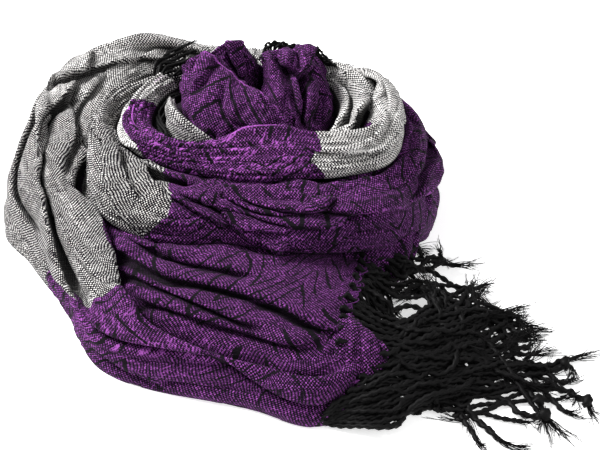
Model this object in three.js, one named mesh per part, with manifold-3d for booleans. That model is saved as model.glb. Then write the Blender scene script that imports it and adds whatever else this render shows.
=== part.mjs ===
// A fringed scarf, wound into a loose rosette that lies on a table.
// Millimetres, +Z up. The scarf winds clockwise, seen from above, and climbs towards the middle.
import * as THREE from 'three';
import { mergeVertices } from 'three/addons/utils/BufferGeometryUtils.js';
import Module from 'manifold-3d';

const wasm = await Module();
wasm.setup();

// Driving dimensions
const CLOTH_WALL = 2.0;        // the gathered cloth, two or three layers pressed together
const SEAM_GAP = 0.3;          // parting between neighbouring stretches
const LAYER_GAP = 0.6;         // cloth to the hidden layers under it
const CREST_LANE = 0.62;       // share of a section's width that lies outside its crest
const CLOTH_WIDTH = 110;       // nominal width of a gathered section, along its surface
const FOLD_TURN = 3.2;         // how sharply a fold turns over
const CORD_WIDTH = 2.2;
const THREAD_WIDTH = 1.6;      // the finer strands in the middle
const HEAP_AXIS = new THREE.Vector2(-18.97, 52.54);   // the winding's axis in the part's frame

const PURPLE = 0x4a1a5c;
const GREY = 0x8f8b86;
const BLACK = 0x141216;

// One row for each section across the winding. sweep: degrees clockwise from +X, counted on through the turns.
// foot: outer lower edge; crest: highest line; tuck: inner edge. Each is a radius from the heap's axis and a height.
const SECTIONS = [
  ['sweep', 'footR', 'footZ', 'crestR', 'crestZ', 'tuckR', 'tuckZ'],
  [30, 122, 0, 100, 6, 82, 4],
  [45, 132, 0, 104, 12, 84, 9],
  [58, 148, 0, 111, 21, 84, 17],
  [77, 181, 0, 118, 31, 84, 28],
  [88, 168, 0, 118, 33, 82, 29],
  [97, 162, 0, 118, 34, 80, 30],
  [116, 158, 0, 122, 35, 88, 31],
  [132, 139, 0, 116, 37, 90, 33],
  [150, 136, 0, 112, 41, 84, 36],
  [163, 144, 0, 112, 45, 82, 38],
  [180, 137, 0, 112, 55, 84, 42],
  [203, 132, 0, 109, 64, 80, 47],
  [225, 117, 0, 96, 65, 69, 45],
  [250, 99, 0, 79, 54, 60, 40],
  [290, 92, 0, 74, 47, 58, 38],
  [320, 93, 0, 75, 47, 60, 38],
  [345, 101, 0, 82, 48, 66, 40],
  [368, 109, 0, 92, 50, 74, 41],
  [380, 109, 0, 92, 50, 74, 41],
  [392, 108, 10, 91, 50, 73, 41],
  [404, 106, 22, 88, 51, 68, 42],
  [418, 102, 30, 80, 51, 60, 42],
  [434, 95, 34, 70, 52, 50, 43],
  [455, 88, 36, 64, 53, 46, 44],
  [478, 98, 37, 76, 54, 56, 45],
  [500, 102, 40, 86, 57, 66, 47],
  [523, 91, 46, 84, 61, 76, 54],
  [545, 84, 49, 77, 63, 69, 55],
  [580, 66, 50, 56, 61, 47, 54],
  [630, 55, 46, 47, 58, 38, 52],
  [680, 62, 48, 54, 65, 44, 57],
  [700, 73, 51, 66, 70, 47, 62],
  [715, 82, 52, 74, 71, 49, 60],
  [730, 86, 53, 77, 70, 50, 57],
  [750, 87, 54, 77, 67, 48, 55],
  [766, 76, 55, 60, 67, 44, 57],
  [784, 63, 54, 42, 67, 34, 58],
  [820, 58, 54, 41, 66, 34, 58],
  [853, 65, 56, 57, 65, 49, 58],
  [877, 73, 57, 66, 66, 56, 58],
  [896, 69, 58, 61, 69, 52, 60],
  [917, 58, 59, 51, 71, 43, 63],
];

// How nearly straight the outer side of a section runs from its foot to its crest.
const STRAIGHTNESS = [
  ['sweep', 'share'],
  [738, 0], [770, 0.75], [835, 0.75], [862, 0],
];

// The small inner layer that stands up between the winding and the crown.
const LEAF_SECTIONS = [
  ['sweep', 'footR', 'footZ', 'crestR', 'crestZ', 'tuckR', 'tuckZ'],
  [836, 41, 52, 39, 60, 37, 56],
  [850, 45, 51, 42, 66, 38.5, 57],
  [874, 48, 50, 45, 71, 40, 59],
  [890, 46.5, 50, 44, 69, 40, 58],
];

// One row for each large fold. It runs from one sweep to another along a lane, 0 at the foot and 1 at the tuck.
// lap: how far its lip laps over; drop: half the step down from its lip. Positive: the outer side lies on top.
const FOLDS = [
  ['from', 'to', 'laneA', 'laneB', 'laneC', 'lap', 'drop', 'reach'],
  [120, 262, 0.30, 0.50, 0.46, 2.4, 4.5, 13],
  [66, 122, 0.36, 0.42, 0.60, 2.0, 4.2, 12],
  [116, 176, 0.56, 0.68, 0.78, 2.2, 4.2, 11],
  [86, 134, 0.12, 0.15, 0.17, -2.2, -3.6, 9],
  [124, 186, 0.17, 0.16, 0.20, -2.2, -3.6, 9],
  [64, 124, 0.50, 0.54, 0.66, 1.2, 2.2, 9],
  [70, 118, 0.24, 0.28, 0.30, -1.0, -2.0, 9],
  [186, 300, 0.24, 0.26, 0.22, -1.8, -3.4, 11],
  [205, 330, 0.70, 0.72, 0.66, 1.8, 3.4, 10],
  [250, 372, 0.45, 0.42, 0.52, 2.0, 3.6, 12],
  [290, 396, 0.20, 0.24, 0.30, -1.8, -3.4, 10],
  [352, 446, 0.48, 0.34, 0.10, -2.0, -3.4, 10],
  [378, 450, 0.66, 0.56, 0.40, 1.4, 2.2, 10],
  [430, 500, 0.14, 0.26, 0.46, -2.2, -3.4, 9],
  [476, 522, 0.14, 0.36, 0.62, 2.0, 3.1, 8],
  [440, 482, 0.62, 0.60, 0.56, -1.2, -2.0, 9],
  [530, 640, 0.40, 0.44, 0.40, 1.4, 2.0, 7],
  [600, 700, 0.60, 0.56, 0.54, -1.4, -2.2, 7],
  [690, 762, 0.44, 0.48, 0.40, -2.2, -3.6, 9],
  [728, 790, 0.70, 0.66, 0.60, 1.2, 2.0, 8],
  [790, 866, 0.34, 0.42, 0.40, -1.2, -1.8, 6],
  [846, 912, 0.44, 0.40, 0.44, 1.4, 2.0, 6],
];

// Where each lane of the outer end stops, at the fringe.
const HEM = [
  ['lane', 'sweep'],
  [0, 77], [0.12, 73], [0.2, 67], [0.26, 67], [0.34, 72], [0.47, 68], [0.56, 62], [0.66, 55], [0.8, 46], [1, 41],
];

// The stretches of the winding that show, from the fringed outer end inwards.
const STRETCHES = [
  ['name', 'from', 'to', 'columns', 'lanes', 'colour'],
  ['front_sweep', 0, 130, 8, 25, PURPLE],
  ['left_sweep', 130, 215, 8, 25, GREY],
  ['back_sweep', 215, 300, 7, 20, PURPLE],
  ['right_sweep', 300, 388, 8, 20, PURPLE],
  ['front_wrap', 388, 492, 9, 22, PURPLE],
  ['left_wrap', 492, 580, 8, 18, GREY],
  ['back_wrap', 580, 680, 6, 14, GREY],
  ['right_wrap', 680, 782, 9, 18, GREY],
  ['front_roll', 782, 870, 8, 15, PURPLE],
  ['left_roll', 870, 917, 5, 15, PURPLE],
];

// The puffed folds in the middle. x, y from the heap's axis; leanX, leanY: how far the top leans.
const CROWN = [
  ['name', 'x', 'y', 'halfX', 'halfY', 'rimZ', 'topZ', 'leanX', 'leanY'],
  ['crown_front', -10, -8.5, 24, 21.5, 51, 92, -7, 6],
  ['crown_back', -13, 20, 21, 13, 51, 91, 3, -3],
  ['crown_right', 25, 3, 21, 25, 51, 92, -6, 3],
];
// The planes along which two of those folds press together: a direction and how far out along it the plane stands.
const CROWN_PARTINGS = [
  ['lobe', 'dirX', 'dirY', 'dirZ', 'limit'],
  ['crown_front', 0.91, 0, 0.41, 32.9],
  ['crown_back', 0.91, 0, 0.41, 32.9],
  ['crown_right', -0.91, 0, -0.41, -33.6],
  ['crown_front', 0, 1, 0, 10],
  ['crown_back', 0, -1, 0, -10.7],
];
const CROWN_PLEATS = { count: 9, depth: 1.5 };
const CROWN_AROUND = 22;
const CROWN_RINGS = 5;

// The course of the outer end's cords, by their place along the hem: x, y from the heap's axis, and height.
const FRINGE_PATHS = [
  ['lane', 'midX', 'midY', 'midZ', 'nearX', 'nearY', 'nearZ', 'tipX', 'tipY', 'tipZ'],
  [0, 66, -181, 1.6, 92, -180, 1.6, 113, -199, 1.5],
  [0.1, 84, -168, 3, 112, -174, 2, 140, -196, 1.5],
  [0.2, 97, -154, 5, 130, -163, 2, 160, -189, 1.5],
  [0.34, 84, -145, 18, 127, -150, 6, 162, -176, 1.5],
  [0.42, 86, -138, 17, 128, -141, 6, 170, -160, 1.5],
  [0.5, 86, -129, 16, 127, -132, 6, 173, -146, 1.5],
  [0.6, 84, -117, 13, 118, -122, 5, 152, -131, 1.5],
  [0.7, 88, -102, 9, 112, -107, 4, 143, -112, 1.5],
  [0.85, 96, -85, 4, 113, -91, 2, 130, -98, 1.5],
  [1, 95, -66, 2, 105, -70, 2, 116, -74, 1.5],
];
const FRINGE_GROUPS = [
  ['from', 'to', 'cords'],
  [0.05, 0.22, 12],
  [0.22, 0.32, 3],
  [0.35, 0.56, 13],
  [0.57, 0.78, 12],
  [0.8, 0.95, 7],
];
// The inner end's strands, in groups: lane of their roots, radius and height of their course, and how far they run.
const INNER_STRANDS = [
  ['strands', 'laneA', 'laneB', 'rA', 'rB', 'zA', 'zB', 'turn', 'arch'],
  [9, 0.1, 0.78, 63, 43, 67, 64, 36, 1.5],
  [5, 1.03, 1.19, 52.5, 50.5, 54, 53.5, -52, 1.5],
];
const TOP_STRANDS = 13;
const FRINGE_ROOT_GAP = 2.9;    // the middle of the strip, from the cloth's edge
const INNER_ROOT_GAP = 1.4;
const CORD_FLOOR = 1.5;        // a cord's middle, where it lies on the table

// Where the hidden layers end on the table, as a limit on their radius by sweep.
const CORE_LIMIT = [
  ['sweep', 'radius'],
  [18, 400], [24, 100], [34, 80], [50, 82], [58, 92], [66, 106], [74, 128], [82, 148], [92, 400], [378, 400],
];
const CORE_RINGS = [0.92, 0.82, 0.72, 0.62, 0.52, 0.42, 0.32, 0.2];
const CORE_STEPS = 50;
const CORE_WINDOW = 18;        // how far round a point the walls above it count
const PLATEAU = 50.4;          // top of the hidden layers under the crown
const CORE_FLANK = { inset: 7, height: 9 };

function table(rows) {
  const [names, ...data] = rows;
  return data.map((row) => Object.fromEntries(names.map((name, i) => [name, row[i]])));
}

const smooth = (x) => {
  const t = Math.min(Math.max(x, 0), 1);
  return t * t * (3 - 2 * t);
};

// A smooth curve through a table's rows: cubic Hermite, with slopes from the neighbouring rows.
function interpolate(rows, key, at, column) {
  const last = rows.length - 1;
  let i = rows.findIndex((row) => row[key] > at) - 1;
  if (i < 0) i = at < rows[0][key] ? 0 : last - 1;
  const slope = (k) => {
    const a = Math.max(k - 1, 0);
    const b = Math.min(k + 1, last);
    return (rows[b][column] - rows[a][column]) / (rows[b][key] - rows[a][key]);
  };
  const h = rows[i + 1][key] - rows[i][key];
  const t = (at - rows[i][key]) / h;
  return (2 * t ** 3 - 3 * t ** 2 + 1) * rows[i][column] + (t ** 3 - 2 * t ** 2 + t) * h * slope(i)
    + (-2 * t ** 3 + 3 * t ** 2) * rows[i + 1][column] + (t ** 3 - t ** 2) * h * slope(i + 1);
}

function linear(rows, key, at, column) {
  const next = rows.findIndex((row) => row[key] > at);
  const i = next < 0 ? rows.length - 2 : Math.max(next - 1, 0);
  const t = Math.min(Math.max((at - rows[i][key]) / (rows[i + 1][key] - rows[i][key]), 0), 1);
  return rows[i][column] * (1 - t) + rows[i + 1][column] * t;
}

const sections = table(SECTIONS);
const leafSections = table(LEAF_SECTIONS);
const folds = table(FOLDS);
const hem = table(HEM);
const straightness = table(STRAIGHTNESS);
const coreLimit = table(CORE_LIMIT);

// A section's smooth form: from foot to crest a quarter ellipse, straightened where the table says, and a quarter
// ellipse from crest to tuck.
function bareSection(rows, sweep, lane) {
  const at = (column) => interpolate(rows, 'sweep', sweep, column);
  const rise = Math.min(lane / CREST_LANE, 1) * Math.PI / 2;
  const fall = Math.max((lane - CREST_LANE) / (1 - CREST_LANE), 0) * Math.PI / 2;
  const foot = new THREE.Vector2(at('footR'), at('footZ'));
  const crest = new THREE.Vector2(at('crestR'), at('crestZ'));
  const tuck = new THREE.Vector2(at('tuckR'), at('tuckZ'));
  if (lane < CREST_LANE) {
    const share = linear(straightness, 'sweep', sweep, 'share');
    const inward = (1 - Math.cos(rise)) * (1 - share) + (lane / CREST_LANE) * share;
    const upward = Math.sin(rise) * (1 - share) + (lane / CREST_LANE) * share;
    return new THREE.Vector2(foot.x + (crest.x - foot.x) * inward, foot.y + (crest.y - foot.y) * upward);
  }
  return new THREE.Vector2(crest.x + (tuck.x - crest.x) * Math.sin(fall), crest.y + (tuck.y - crest.y) * (1 - Math.cos(fall)));
}

// The step of one fold at a place on the cloth, from -1 to 1, without its size.
function foldStep(fold, sweep, lane) {
  const along = (sweep - fold.from) / (fold.to - fold.from);
  if (along <= 0 || along >= 1) return 0;
  const a = 1 - along;
  const middle = 2 * fold.laneB - (fold.laneA + fold.laneC) / 2;
  const centre = a * a * fold.laneA + 2 * a * along * middle + along * along * fold.laneC;
  const across = (lane - centre) * CLOTH_WIDTH;
  const ends = smooth(along / 0.25) * smooth(a / 0.25);
  return -Math.tanh(across / FOLD_TURN) * Math.exp(-((across / fold.reach) ** 2)) * ends;
}

// A point of the cloth, and the section's outward direction there, both in the section's plane.
function clothSection(rows, sweep, lane) {
  const step = 0.004;
  const here = bareSection(rows, sweep, lane);
  const low = bareSection(rows, sweep, Math.max(lane - step, 0));
  const high = bareSection(rows, sweep, Math.min(lane + step, 1));
  const along = high.sub(low).normalize();
  const out = new THREE.Vector2(along.y, -along.x);
  const fade = smooth(lane / 0.1) * smooth((1 - lane) / 0.22);
  for (const fold of folds) {
    const amount = foldStep(fold, sweep, lane) * fade;
    here.addScaledVector(along, amount * Math.abs(fold.lap));
    here.addScaledVector(out, amount * fold.drop);
  }
  return { point: here, out };
}

function inHeap(sweep, radius, height) {
  const angle = THREE.MathUtils.degToRad(sweep);
  return new THREE.Vector3(HEAP_AXIS.x + radius * Math.cos(angle), HEAP_AXIS.y - radius * Math.sin(angle), height);
}

// A closed geometry from points and triangles, with its faces turned out.
function solid(points, triangles) {
  let volume = 0;
  for (const [a, b, c] of triangles) volume += points[a].dot(points[b].clone().cross(points[c]));
  const geometry = new THREE.BufferGeometry();
  geometry.setAttribute('position', new THREE.Float32BufferAttribute(points.flatMap((p) => p.toArray()), 3));
  geometry.setIndex(triangles.flatMap(([a, b, c]) => (volume < 0 ? [a, c, b] : [a, b, c])));
  return geometry;
}

// A wall between an outer and an inner grid of points. wrap joins the last column to the first.
function wallBetween(outer, inner, wrap = false) {
  const rows = outer.length;
  const columns = outer[0].length;
  const points = [...outer.flat(), ...inner.flat()];
  const shift = rows * columns;
  const triangles = [];
  const quad = (a, b, c, d) => triangles.push([a, b, c], [a, c, d]);
  const id = (i, j, side) => side * shift + (i % rows) * columns + j;
  const spans = wrap ? rows : rows - 1;
  for (let i = 0; i < spans; i += 1) {
    for (let j = 0; j + 1 < columns; j += 1) {
      quad(id(i, j, 0), id(i + 1, j, 0), id(i + 1, j + 1, 0), id(i, j + 1, 0));
      quad(id(i, j, 1), id(i, j + 1, 1), id(i + 1, j + 1, 1), id(i + 1, j, 1));
    }
    quad(id(i, 0, 0), id(i, 0, 1), id(i + 1, 0, 1), id(i + 1, 0, 0));
    quad(id(i, columns - 1, 0), id(i + 1, columns - 1, 0), id(i + 1, columns - 1, 1), id(i, columns - 1, 1));
  }
  for (let j = 0; j + 1 < columns && !wrap; j += 1) {
    quad(id(0, j, 0), id(0, j + 1, 0), id(0, j + 1, 1), id(0, j, 1));
    quad(id(rows - 1, j, 0), id(rows - 1, j, 1), id(rows - 1, j + 1, 1), id(rows - 1, j + 1, 0));
  }
  return solid(points, triangles);
}

const seamAngle = (radius) => THREE.MathUtils.radToDeg(SEAM_GAP / radius);

// The outer and inner points of one stretch of the winding.
function stretchGrids(rows, stretch) {
  const outer = [];
  const inner = [];
  for (let i = 0; i <= stretch.columns; i += 1) {
    outer.push([]);
    inner.push([]);
    for (let j = 0; j <= stretch.lanes; j += 1) {
      const lane = j / stretch.lanes;
      const start = stretch.from || linear(hem, 'lane', lane, 'sweep');
      const end = stretch.to - seamAngle(interpolate(rows, 'sweep', stretch.to, 'tuckR'));
      const sweep = start + (end - start) * (i / stretch.columns);
      const { point, out } = clothSection(rows, sweep, lane);
      const back = point.clone().addScaledVector(out, -CLOTH_WALL);
      outer[i].push(inHeap(sweep, point.x, Math.max(point.y, 0)));
      inner[i].push(inHeap(sweep, back.x, Math.max(back.y, 0)));
    }
  }
  return { outer, inner };
}

// Holds a point behind the planes where its fold presses against the next.
function pressed(lobe, inset, point) {
  for (const parting of table(CROWN_PARTINGS)) {
    if (parting.lobe !== lobe.name) continue;
    const across = new THREE.Vector3(parting.dirX, parting.dirY, parting.dirZ);
    const reach = (point.x - HEAP_AXIS.x) * across.x + (point.y - HEAP_AXIS.y) * across.y + point.z * across.z;
    across.z = 0;
    const over = (reach - parting.limit + inset) / across.lengthSq();
    if (over > 0) point.addScaledVector(across, -over);
  }
  return point;
}

// A puffed fold: a pleated dome of cloth, open below.
function crownGrids(lobe) {
  const half = (inset) => new THREE.Vector3(lobe.halfX - inset, lobe.halfY - inset, lobe.topZ - lobe.rimZ - inset);
  const grid = (inset) => {
    const size = half(inset);
    return Array.from({ length: CROWN_AROUND }, (_, i) => Array.from({ length: CROWN_RINGS }, (__, j) => {
      const around = (i / CROWN_AROUND) * 2 * Math.PI;
      const up = (j / CROWN_RINGS) * Math.PI / 2;
      const rise = Math.sin(up);
      const pleat = Math.cos(CROWN_PLEATS.count * around + 2 * rise) * CROWN_PLEATS.depth * Math.sin(2 * up);
      const spread = Math.cos(up) ** 0.6;
      const x = HEAP_AXIS.x + lobe.x + lobe.leanX * rise ** 2 + Math.cos(around) * (size.x * spread + pleat);
      const y = HEAP_AXIS.y + lobe.y + lobe.leanY * rise ** 2 + Math.sin(around) * (size.y * spread + pleat);
      return pressed(lobe, inset, new THREE.Vector3(x, y, lobe.rimZ + size.z * rise));
    }));
  };
  const summit = new THREE.Vector3(HEAP_AXIS.x + lobe.x + lobe.leanX, HEAP_AXIS.y + lobe.y + lobe.leanY, lobe.topZ);
  const top = (inset) => pressed(lobe, inset, summit.clone().setZ(lobe.topZ - inset));
  return { outer: grid(0), inner: grid(CLOTH_WALL), outerTop: top(0), innerTop: top(CLOTH_WALL) };
}

function crownLobe(lobe) {
  const { outer, inner, outerTop, innerTop } = crownGrids(lobe);
  const points = [...outer.flat(), ...inner.flat(), outerTop, innerTop];
  const shift = CROWN_AROUND * CROWN_RINGS;
  const triangles = [];
  const id = (i, j, side) => side * shift + (i % CROWN_AROUND) * CROWN_RINGS + j;
  for (let i = 0; i < CROWN_AROUND; i += 1) {
    for (let j = 0; j + 1 < CROWN_RINGS; j += 1) {
      triangles.push([id(i, j, 0), id(i + 1, j, 0), id(i + 1, j + 1, 0)], [id(i, j, 0), id(i + 1, j + 1, 0), id(i, j + 1, 0)]);
      triangles.push([id(i, j, 1), id(i + 1, j + 1, 1), id(i + 1, j, 1)], [id(i, j, 1), id(i, j + 1, 1), id(i + 1, j + 1, 1)]);
    }
    triangles.push([id(i, CROWN_RINGS - 1, 0), id(i + 1, CROWN_RINGS - 1, 0), 2 * shift]);
    triangles.push([id(i, CROWN_RINGS - 1, 1), 2 * shift + 1, id(i + 1, CROWN_RINGS - 1, 1)]);
    triangles.push([id(i, 0, 0), id(i, 0, 1), id(i + 1, 0, 1)], [id(i, 0, 0), id(i + 1, 0, 1), id(i + 1, 0, 0)]);
  }
  return solid(points, triangles);
}

// The hidden layers: one rounded solid that stays just under every wall above it.
function hiddenLayers(undersides) {
  const lowest = (x, y) => {
    let height = PLATEAU;
    for (const p of undersides) {
      if (Math.hypot(p.x - x, p.y - y) < CORE_WINDOW) height = Math.min(height, p.z - LAYER_GAP);
    }
    return Math.max(height, 1);
  };
  const points = [];
  const rings = 2 + CORE_RINGS.length;
  for (let i = 0; i < CORE_STEPS; i += 1) {
    const sweep = 18 + (i / CORE_STEPS) * 360;
    const foot = interpolate(sections, 'sweep', sweep < 30 ? sweep + 360 : sweep, 'footR') - CLOTH_WALL;
    const radius = Math.min(foot - 2.5, linear(coreLimit, 'sweep', sweep, 'radius'));
    points.push(inHeap(sweep, radius, 0));
    const flank = inHeap(sweep, radius - CORE_FLANK.inset, 0);
    points.push(flank.setZ(Math.min(CORE_FLANK.height, lowest(flank.x, flank.y))));
    for (const share of CORE_RINGS) {
      const p = inHeap(sweep, (radius - CORE_FLANK.inset) * share, 0);
      points.push(p.setZ(lowest(p.x, p.y)));
    }
  }
  const underCentre = points.push(inHeap(0, 0, 0)) - 1;
  const topCentre = points.push(inHeap(0, 0, PLATEAU)) - 1;
  const triangles = [];
  const id = (i, j) => (i % CORE_STEPS) * rings + j;
  for (let i = 0; i < CORE_STEPS; i += 1) {
    for (let j = 0; j + 1 < rings; j += 1) {
      triangles.push([id(i, j), id(i + 1, j), id(i + 1, j + 1)], [id(i, j), id(i + 1, j + 1), id(i, j + 1)]);
    }
    triangles.push([underCentre, id(i + 1, 0), id(i, 0)]);
    triangles.push([topCentre, id(i, rings - 1), id(i + 1, rings - 1)]);
  }
  return solid(points, triangles);
}

function toManifold(geometry) {
  const bare = new THREE.BufferGeometry();
  bare.setAttribute('position', geometry.getAttribute('position'));
  if (geometry.index) bare.setIndex(geometry.index);
  const merged = mergeVertices(bare, 1e-4);
  const vertProperties = new Float32Array(merged.getAttribute('position').array);
  const triVerts = new Uint32Array(merged.index.array);
  return new wasm.Manifold(new wasm.Mesh({ numProp: 3, vertProperties, triVerts }));
}

function fromManifold(body) {
  const mesh = body.getMesh();
  const geometry = new THREE.BufferGeometry();
  geometry.setAttribute('position', new THREE.BufferAttribute(new Float32Array(mesh.vertProperties), 3));
  geometry.setIndex(new THREE.BufferAttribute(new Uint32Array(mesh.triVerts), 1));
  return geometry;
}

// A cord of three-sided section along a smooth curve through its points.
function cord(points, width, steps) {
  const corners = [0, 1, 2].map((k) => new THREE.Vector2(0.6 * width, 0).rotateAround(new THREE.Vector2(), 2.1 * k));
  const extrudePath = new THREE.CatmullRomCurve3(points);
  return new THREE.ExtrudeGeometry(new THREE.Shape(corners), { steps, extrudePath, bevelEnabled: false });
}

// Cords fused at their roots into a narrow strip, as one body.
function fringe(strip, cords, width, steps) {
  let body = toManifold(cord(strip, width, strip.length * 2));
  for (const points of cords) body = body.add(toManifold(cord(points, width, steps)));
  // Where roots touch all round a hollow, the hollow's own surface comes apart as a body turned inside out.
  const outside = body.simplify(0.12).decompose().filter((piece) => piece.volume() > 0);
  return fromManifold(wasm.Manifold.union(outside));
}

const fringePaths = table(FRINGE_PATHS);

// A place in the middle of the cloth's thickness.
function midWall(rows, sweep, lane) {
  const { point, out } = clothSection(rows, sweep, lane);
  const middle = point.addScaledVector(out, -CLOTH_WALL / 2);
  return inHeap(sweep, middle.x, Math.max(middle.y, CORD_FLOOR));
}

const hemCourse = (lane) => midWall(sections, linear(hem, 'lane', lane, 'sweep'), lane);

// The place where a cord leaves the cloth, parted from its edge. before, after: the edge on either side of it.
function beyondEdge(rows, sweep, lane, before, after, side, gap) {
  const here = midWall(rows, sweep, lane);
  const edge = after.clone().sub(before).normalize();
  const away = midWall(rows, sweep + side, lane).sub(here);
  away.addScaledVector(edge, -away.dot(edge)).normalize();
  here.addScaledVector(away, gap);
  return here.setZ(Math.max(here.z, CORD_FLOOR));
}

// The outer end's cords: each runs from its place on the hem, over or under its neighbours, to the table.
function outerFringe() {
  const place = (lane, column) => {
    const at = (name) => linear(fringePaths, 'lane', lane, `${column}${name}`);
    return new THREE.Vector3(HEAP_AXIS.x + at('X'), HEAP_AXIS.y + at('Y'), at('Z'));
  };
  const root = (lane) => {
    const sweep = linear(hem, 'lane', lane, 'sweep');
    const before = hemCourse(Math.max(lane - 0.02, 0));
    const after = hemCourse(Math.min(lane + 0.02, 1));
    return beyondEdge(sections, sweep, lane, before, after, -1, FRINGE_ROOT_GAP);
  };
  const strip = [];
  for (let i = 0; i <= 24; i += 1) strip.push(root(0.04 + 0.92 * (i / 24)));
  const cords = [];
  for (const group of table(FRINGE_GROUPS)) {
    for (let k = 0; k < group.cords; k += 1) {
      const lane = group.from + (group.to - group.from) * ((k + 0.5) / group.cords);
      const layer = (cords.length % 3) * 2.5;
      const points = [root(lane), place(lane, 'mid'), place(lane, 'near'), place(lane, 'tip')];
      points[1].z += layer;
      points[2].z += layer;
      const end = points[3].clone().sub(points[2]);
      points[3].addScaledVector(end, 0.12 * Math.sin(cords.length * 2.4));
      points[3].z = CORD_FLOOR + (cords.length % 3 === 2 ? 2.5 : 0);
      cords.push(points);
    }
  }
  return { strip, cords };
}

// The inner end's strands. Some lie over the back, the others drop into the hollow inside the last turn.
function innerFringe() {
  const end = 917;
  const root = (lane) => {
    const onEdge = Math.min(lane, 1);
    const before = midWall(sections, end, onEdge - 0.02);
    const after = midWall(sections, end, Math.min(onEdge + 0.02, 1));
    const past = inHeap(end, 30 * (onEdge - lane), 25 * (onEdge - lane)).sub(inHeap(end, 0, 0));
    return beyondEdge(sections, end, onEdge, before, after, 1, INNER_ROOT_GAP).add(past);
  };
  const strip = Array.from({ length: 13 }, (_, i) => root(0.06 + 1.14 * (i / 12)));
  const cords = [];
  for (const group of table(INNER_STRANDS)) {
    for (let k = 0; k < group.strands; k += 1) {
      const t = (k + 0.5) / group.strands;
      const at = (name) => group[`${name}A`] + (group[`${name}B`] - group[`${name}A`]) * t;
      const lift = (k % 3) * 2;
      const start = root(at('lane'));
      const points = [start];
      const startR = Math.hypot(start.x - HEAP_AXIS.x, start.y - HEAP_AXIS.y);
      for (const [along, rise, settled] of [[0.3, 2, 0.5], [0.65, 1, 1], [1, 0, 1]]) {
        const sweep = end + (group.turn * along) * (0.88 + 0.12 * Math.cos(5 * k));
        const radius = startR + (at('r') - startR) * settled;
        points.push(inHeap(sweep, radius, at('z') + rise * group.arch + lift));
      }
      cords.push(points);
    }
  }
  return { strip, cords };
}

// More of the inner end's strands, which stand up behind the crown and fall over the back.
function topFringe() {
  const place = (x, y, z) => new THREE.Vector3(HEAP_AXIS.x + x, HEAP_AXIS.y + y, z);
  const strip = [0, 0.25, 0.5, 0.75, 1].map((t) => place(2 + 30 * t, 32.5 - 4 * t * t, 61));
  const cords = Array.from({ length: TOP_STRANDS }, (_, k) => {
    const t = (k + 0.5) / TOP_STRANDS;
    const x = 2 + 30 * t;
    const lift = (k % 3) * 2.3;
    return [
      place(x, 32.5 - 4 * t * t, 61), place(x + 0.5, 33.5 - 4 * t, 73 + lift), place(1.15 * x, 45, 74 + lift),
      place(1.35 * x, 59 - 3 * t, 65 + lift), place(1.5 * x, 68 - 8 * t + 2 * Math.sin(3 * k), 56 + lift),
    ];
  });
  return { strip, cords };
}

const scarf = new THREE.Group();
const add = (name, geometry, colour) => {
  const mesh = new THREE.Mesh(geometry, new THREE.MeshStandardMaterial({ color: colour, roughness: 0.9 }));
  mesh.name = name;
  scarf.add(mesh);
};

const undersides = [];
const addUnderside = (grid, wrap) => {
  const count = grid.length;
  for (let i = 0; i < (wrap ? count : count - 1); i += 1) {
    for (let j = 0; j + 1 < grid[i].length; j += 1) {
      const [a, b, c, d] = [grid[i][j], grid[(i + 1) % count][j], grid[(i + 1) % count][j + 1], grid[i][j + 1]];
      for (let u = 0; u < 1; u += 0.2) {
        for (let v = 0; v < 1; v += 0.25) {
          undersides.push(a.clone().lerp(b, u).lerp(d.clone().lerp(c, u), v));
        }
      }
    }
  }
};

for (const stretch of table(STRETCHES)) {
  const { outer, inner } = stretchGrids(sections, stretch);
  addUnderside(inner, false);
  add(stretch.name, wallBetween(outer, inner), stretch.colour);
}
const leaf = stretchGrids(leafSections, { from: 836, to: 890, columns: 5, lanes: 8 });
addUnderside(leaf.inner, false);
add('inner_leaf', wallBetween(leaf.outer, leaf.inner), GREY);
for (const lobe of table(CROWN)) add(lobe.name, crownLobe(lobe), PURPLE);
const outerEnd = outerFringe();
add('fringe_outer', fringe(outerEnd.strip, outerEnd.cords, CORD_WIDTH, 5), BLACK);
const innerEnd = innerFringe();
add('fringe_inner', fringe(innerEnd.strip, innerEnd.cords, THREAD_WIDTH, 5), BLACK);
const top = topFringe();
add('fringe_top', fringe(top.strip, top.cords, THREAD_WIDTH, 5), BLACK);
add('hidden_layers', hiddenLayers(undersides), GREY);

export default scarf;
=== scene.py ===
import math

import bmesh
import bpy
import numpy as np
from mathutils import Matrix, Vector


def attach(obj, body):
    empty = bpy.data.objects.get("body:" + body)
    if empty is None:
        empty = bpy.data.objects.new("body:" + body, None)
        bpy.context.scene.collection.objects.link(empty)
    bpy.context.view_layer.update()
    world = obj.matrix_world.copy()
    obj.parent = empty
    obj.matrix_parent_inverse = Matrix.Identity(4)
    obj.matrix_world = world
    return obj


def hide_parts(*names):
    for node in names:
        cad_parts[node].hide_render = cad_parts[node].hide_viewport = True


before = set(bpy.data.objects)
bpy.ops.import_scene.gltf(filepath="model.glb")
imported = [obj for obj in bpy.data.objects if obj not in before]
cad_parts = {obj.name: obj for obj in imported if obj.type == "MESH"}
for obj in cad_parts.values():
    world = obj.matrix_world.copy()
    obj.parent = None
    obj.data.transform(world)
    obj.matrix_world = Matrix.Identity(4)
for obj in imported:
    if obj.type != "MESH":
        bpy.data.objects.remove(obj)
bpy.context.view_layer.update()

MM = 0.001
HEAP_AXIS = np.array([-18.97, 52.54])  # the winding's axis in the part's frame
CREST_LANE = 0.62  # share of a section's width that lies outside its crest
CLOTH_WIDTH = 110.0  # nominal width of a gathered section, along its surface
CLOTH_THICKNESS = 0.0007  # metres
CLOTH_FLOOR = 0.75  # least height of a cloth's outer face
STEP_IN_LANE = 0.004  # step along a section for its slope
OUTER_RADIUS = 120.0  # of the first turn, on average
FRAY_SEED = 11
QUICK_STEP = 1  # how much coarser a quick version of the cloth is made
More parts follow.
